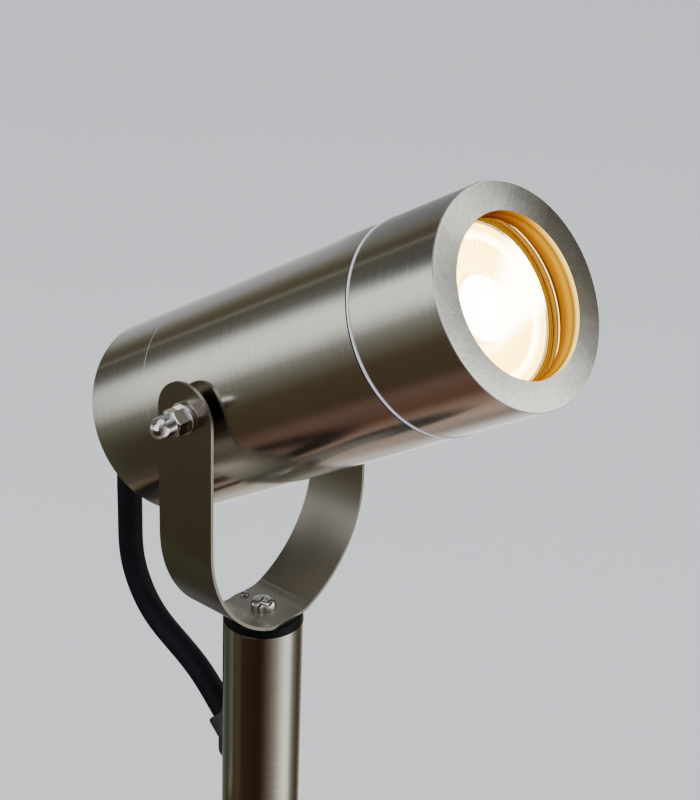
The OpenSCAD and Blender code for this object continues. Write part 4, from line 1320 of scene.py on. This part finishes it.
# What the polished tube mirrors, as bands round the head's axis: angle in degrees, colour
tubeBands = [
    (0, 1.6, 1.6, 1.65), (16, 0.92, 0.92, 0.97), (34, 0.58, 0.58, 0.62), (54, 0.42),
    (66, 0.22, 0.20, 0.155), (76, 0.12, 0.105, 0.07), (84.5, 0.11, 0.10, 0.07), (86.5, 0.38, 0.35, 0.28),
    (87.8, 0.34, 0.32, 0.26), (90, 0.10, 0.095, 0.075), (106, 0.20, 0.20, 0.19), (113, 0.48, 0.48, 0.47),
    (120, 1.15, 1.15, 1.13), (128, 1.55, 1.55, 1.5), (146, 1.4, 1.4, 1.35), (164, 0.34, 0.34, 0.32),
    (176, 0.20, 0.19, 0.15), (192, 0.10, 0.075, 0.045), (222, 0.085, 0.06, 0.032), (234, 0.19, 0.115, 0.09),
    (254, 0.15, 0.075, 0.05), (267, 0.36, 0.24, 0.19), (283, 0.44, 0.32, 0.26), (300, 0.54, 0.44, 0.38),
    (316, 0.85, 0.79, 0.75), (326, 0.68, 0.64, 0.62), (342, 1.6, 1.56, 1.52), (360, 1.7),
]
sleeveShade = [
    (0, 0.8), (14, 0.42), (56, 0.5), (68, 0.9), (96, 0.9), (106, 0.5), (116, 0.28), (121, 0.55), (127, 1.08),
    (254, 1), (267, 1.1), (283, 1.45), (292, 1.0), (300, 0.62), (316, 1.05), (326, 1.6), (342, 1.0), (360, 1),
]
rearShade = [(0, 1), (110, 0.8), (160, 0.75), (186, 0.4), (250, 0.35), (320, 0.3), (336, 1), (360, 1)]

# The rest of the studio, by the compass from the front of the pole: below, above and far above the eye
lowBands = [
    (0, 0.62, 0.58, 0.55), (12, 1.15, 1.1, 1.06), (24, 1.6, 1.58, 1.5), (36, 1.35, 1.33, 1.26),
    (44, 0.55, 0.52, 0.48), (54, 0.24, 0.21, 0.18), (72, 0.09, 0.065, 0.045), (84, 0.11, 0.08, 0.06),
    (100, 0.40, 0.36, 0.34), (116, 1.1, 1.05, 1.05), (150, 0.22, 0.22, 0.24), (176, 0.11, 0.11, 0.10),
    (194, 0.065, 0.068, 0.050), (218, 0.17, 0.18, 0.12), (234, 0.10, 0.095, 0.06),
    (254, 0.045, 0.03, 0.018), (306, 0.035, 0.018, 0.009), (316, 0.06, 0.04, 0.03), (332, 0.17, 0.13, 0.11),
    (350, 0.38, 0.32, 0.29), (360, 0.62, 0.58, 0.55),
]
highBands = [
    (0, 0.5, 0.5, 0.48), (24, 0.9, 0.9, 0.87), (42, 2.1, 2.1, 2.03), (64, 2.1, 2.1, 2.03),
    (84, 0.9, 0.9, 0.87), (118, 0.42, 0.42, 0.41), (136, 0.30), (176, 0.11, 0.10, 0.085),
    (216, 0.10, 0.095, 0.08), (228, 0.45, 0.45, 0.46), (240, 0.9, 0.9, 0.92), (262, 1.9, 1.9, 1.95),
    (288, 1.7, 1.7, 1.75), (304, 0.12, 0.11, 0.10), (336, 0.10, 0.09, 0.08), (360, 0.5, 0.5, 0.48),
]
upperBands = [
    (0, 0.16), (40, 0.08), (70, 0.06), (100, 0.06), (120, 0.26), (144, 0.26), (170, 0.12), (232, 0.12),
    (258, 1.5), (290, 1.3), (306, 0.3), (360, 0.22),
]

# Where one zone of the studio fades into the next: by height, and along the head's axis
heights = {
    "eye": (-0.12, 0.12), "upper": (0.44, 0.57), "zenith": (0.80, 0.97), "floor": (-0.80, -0.97),
}
headSpans = {
    "sleeve": (-0.712, -0.692), "rear": (-0.775, -0.797), "start": (-0.54, -0.60), "end": (-0.835, -0.81),
}


def makeWorld():
    world = bpy.data.worlds.new("studio")
    bpy.context.scene.world = world
    world.cycles.sampling_method = "NONE"
    sky = Finish(world)
    way = sky.node("ShaderNodeTexCoord", out="Generated")
    east, north, up = sky.split(way)
    compass = east.maths("ARCTAN2", north * -1)
    low, high = sky.rampRound(compass, lowBands), sky.rampRound(compass, highBands)
    around = sky.mixColours(sky.between(up, *heights["eye"]), low, high)
    for zone, colour in (("upper", sky.rampRound(compass, upperBands)), ("zenith", (1.1, 1.12, 1.18)),
                         ("floor", (0.30, 0.29, 0.28))):
        around = sky.mixColours(sky.between(up, *heights[zone]), around, colour)
    headWay = sky.node("ShaderNodeVectorRotate", {"rotation_type": "X_AXIS"}, Vector=way, Angle=-headTurn)
    x, y, z = sky.split(headWay)
    angle = angleOf(x, y)
    bands = sky.rampRound(angle, tubeBands)
    for zone, shade in (("sleeve", sleeveShade), ("rear", rearShade)):
        shaded = sky.multiply(bands, sky.rampRound(angle, shade))
        bands = sky.mixColours(sky.between(z, *headSpans[zone]), bands, shaded)
    cone = sky.between(z, *headSpans["start"]) * sky.between(z, *headSpans["end"])
    paths = sky.node("ShaderNodeLightPath").socket.node
    glossy = Flow(sky, paths.outputs["Is Glossy Ray"])
    seen = sky.mixColours(glossy, (0.90, 0.92, 0.96), sky.mixColours(cone, around, bands))
    background = sky.node("ShaderNodeBackground", None, seen, 1.0)
    sky.node("ShaderNodeOutputWorld", None, background)


makeStudio(studio)
addAreaLight("keyLight", (-1.1, 0.3, 1.5), (1.0, 1.0), 16, (1.0, 0.99, 0.97))
addAreaLight("fillLight", (0.6, -1.5, 1.0), (1.2, 1.0), 7, (0.95, 0.97, 1.0))
makeWorld()
print("The studio is lit")
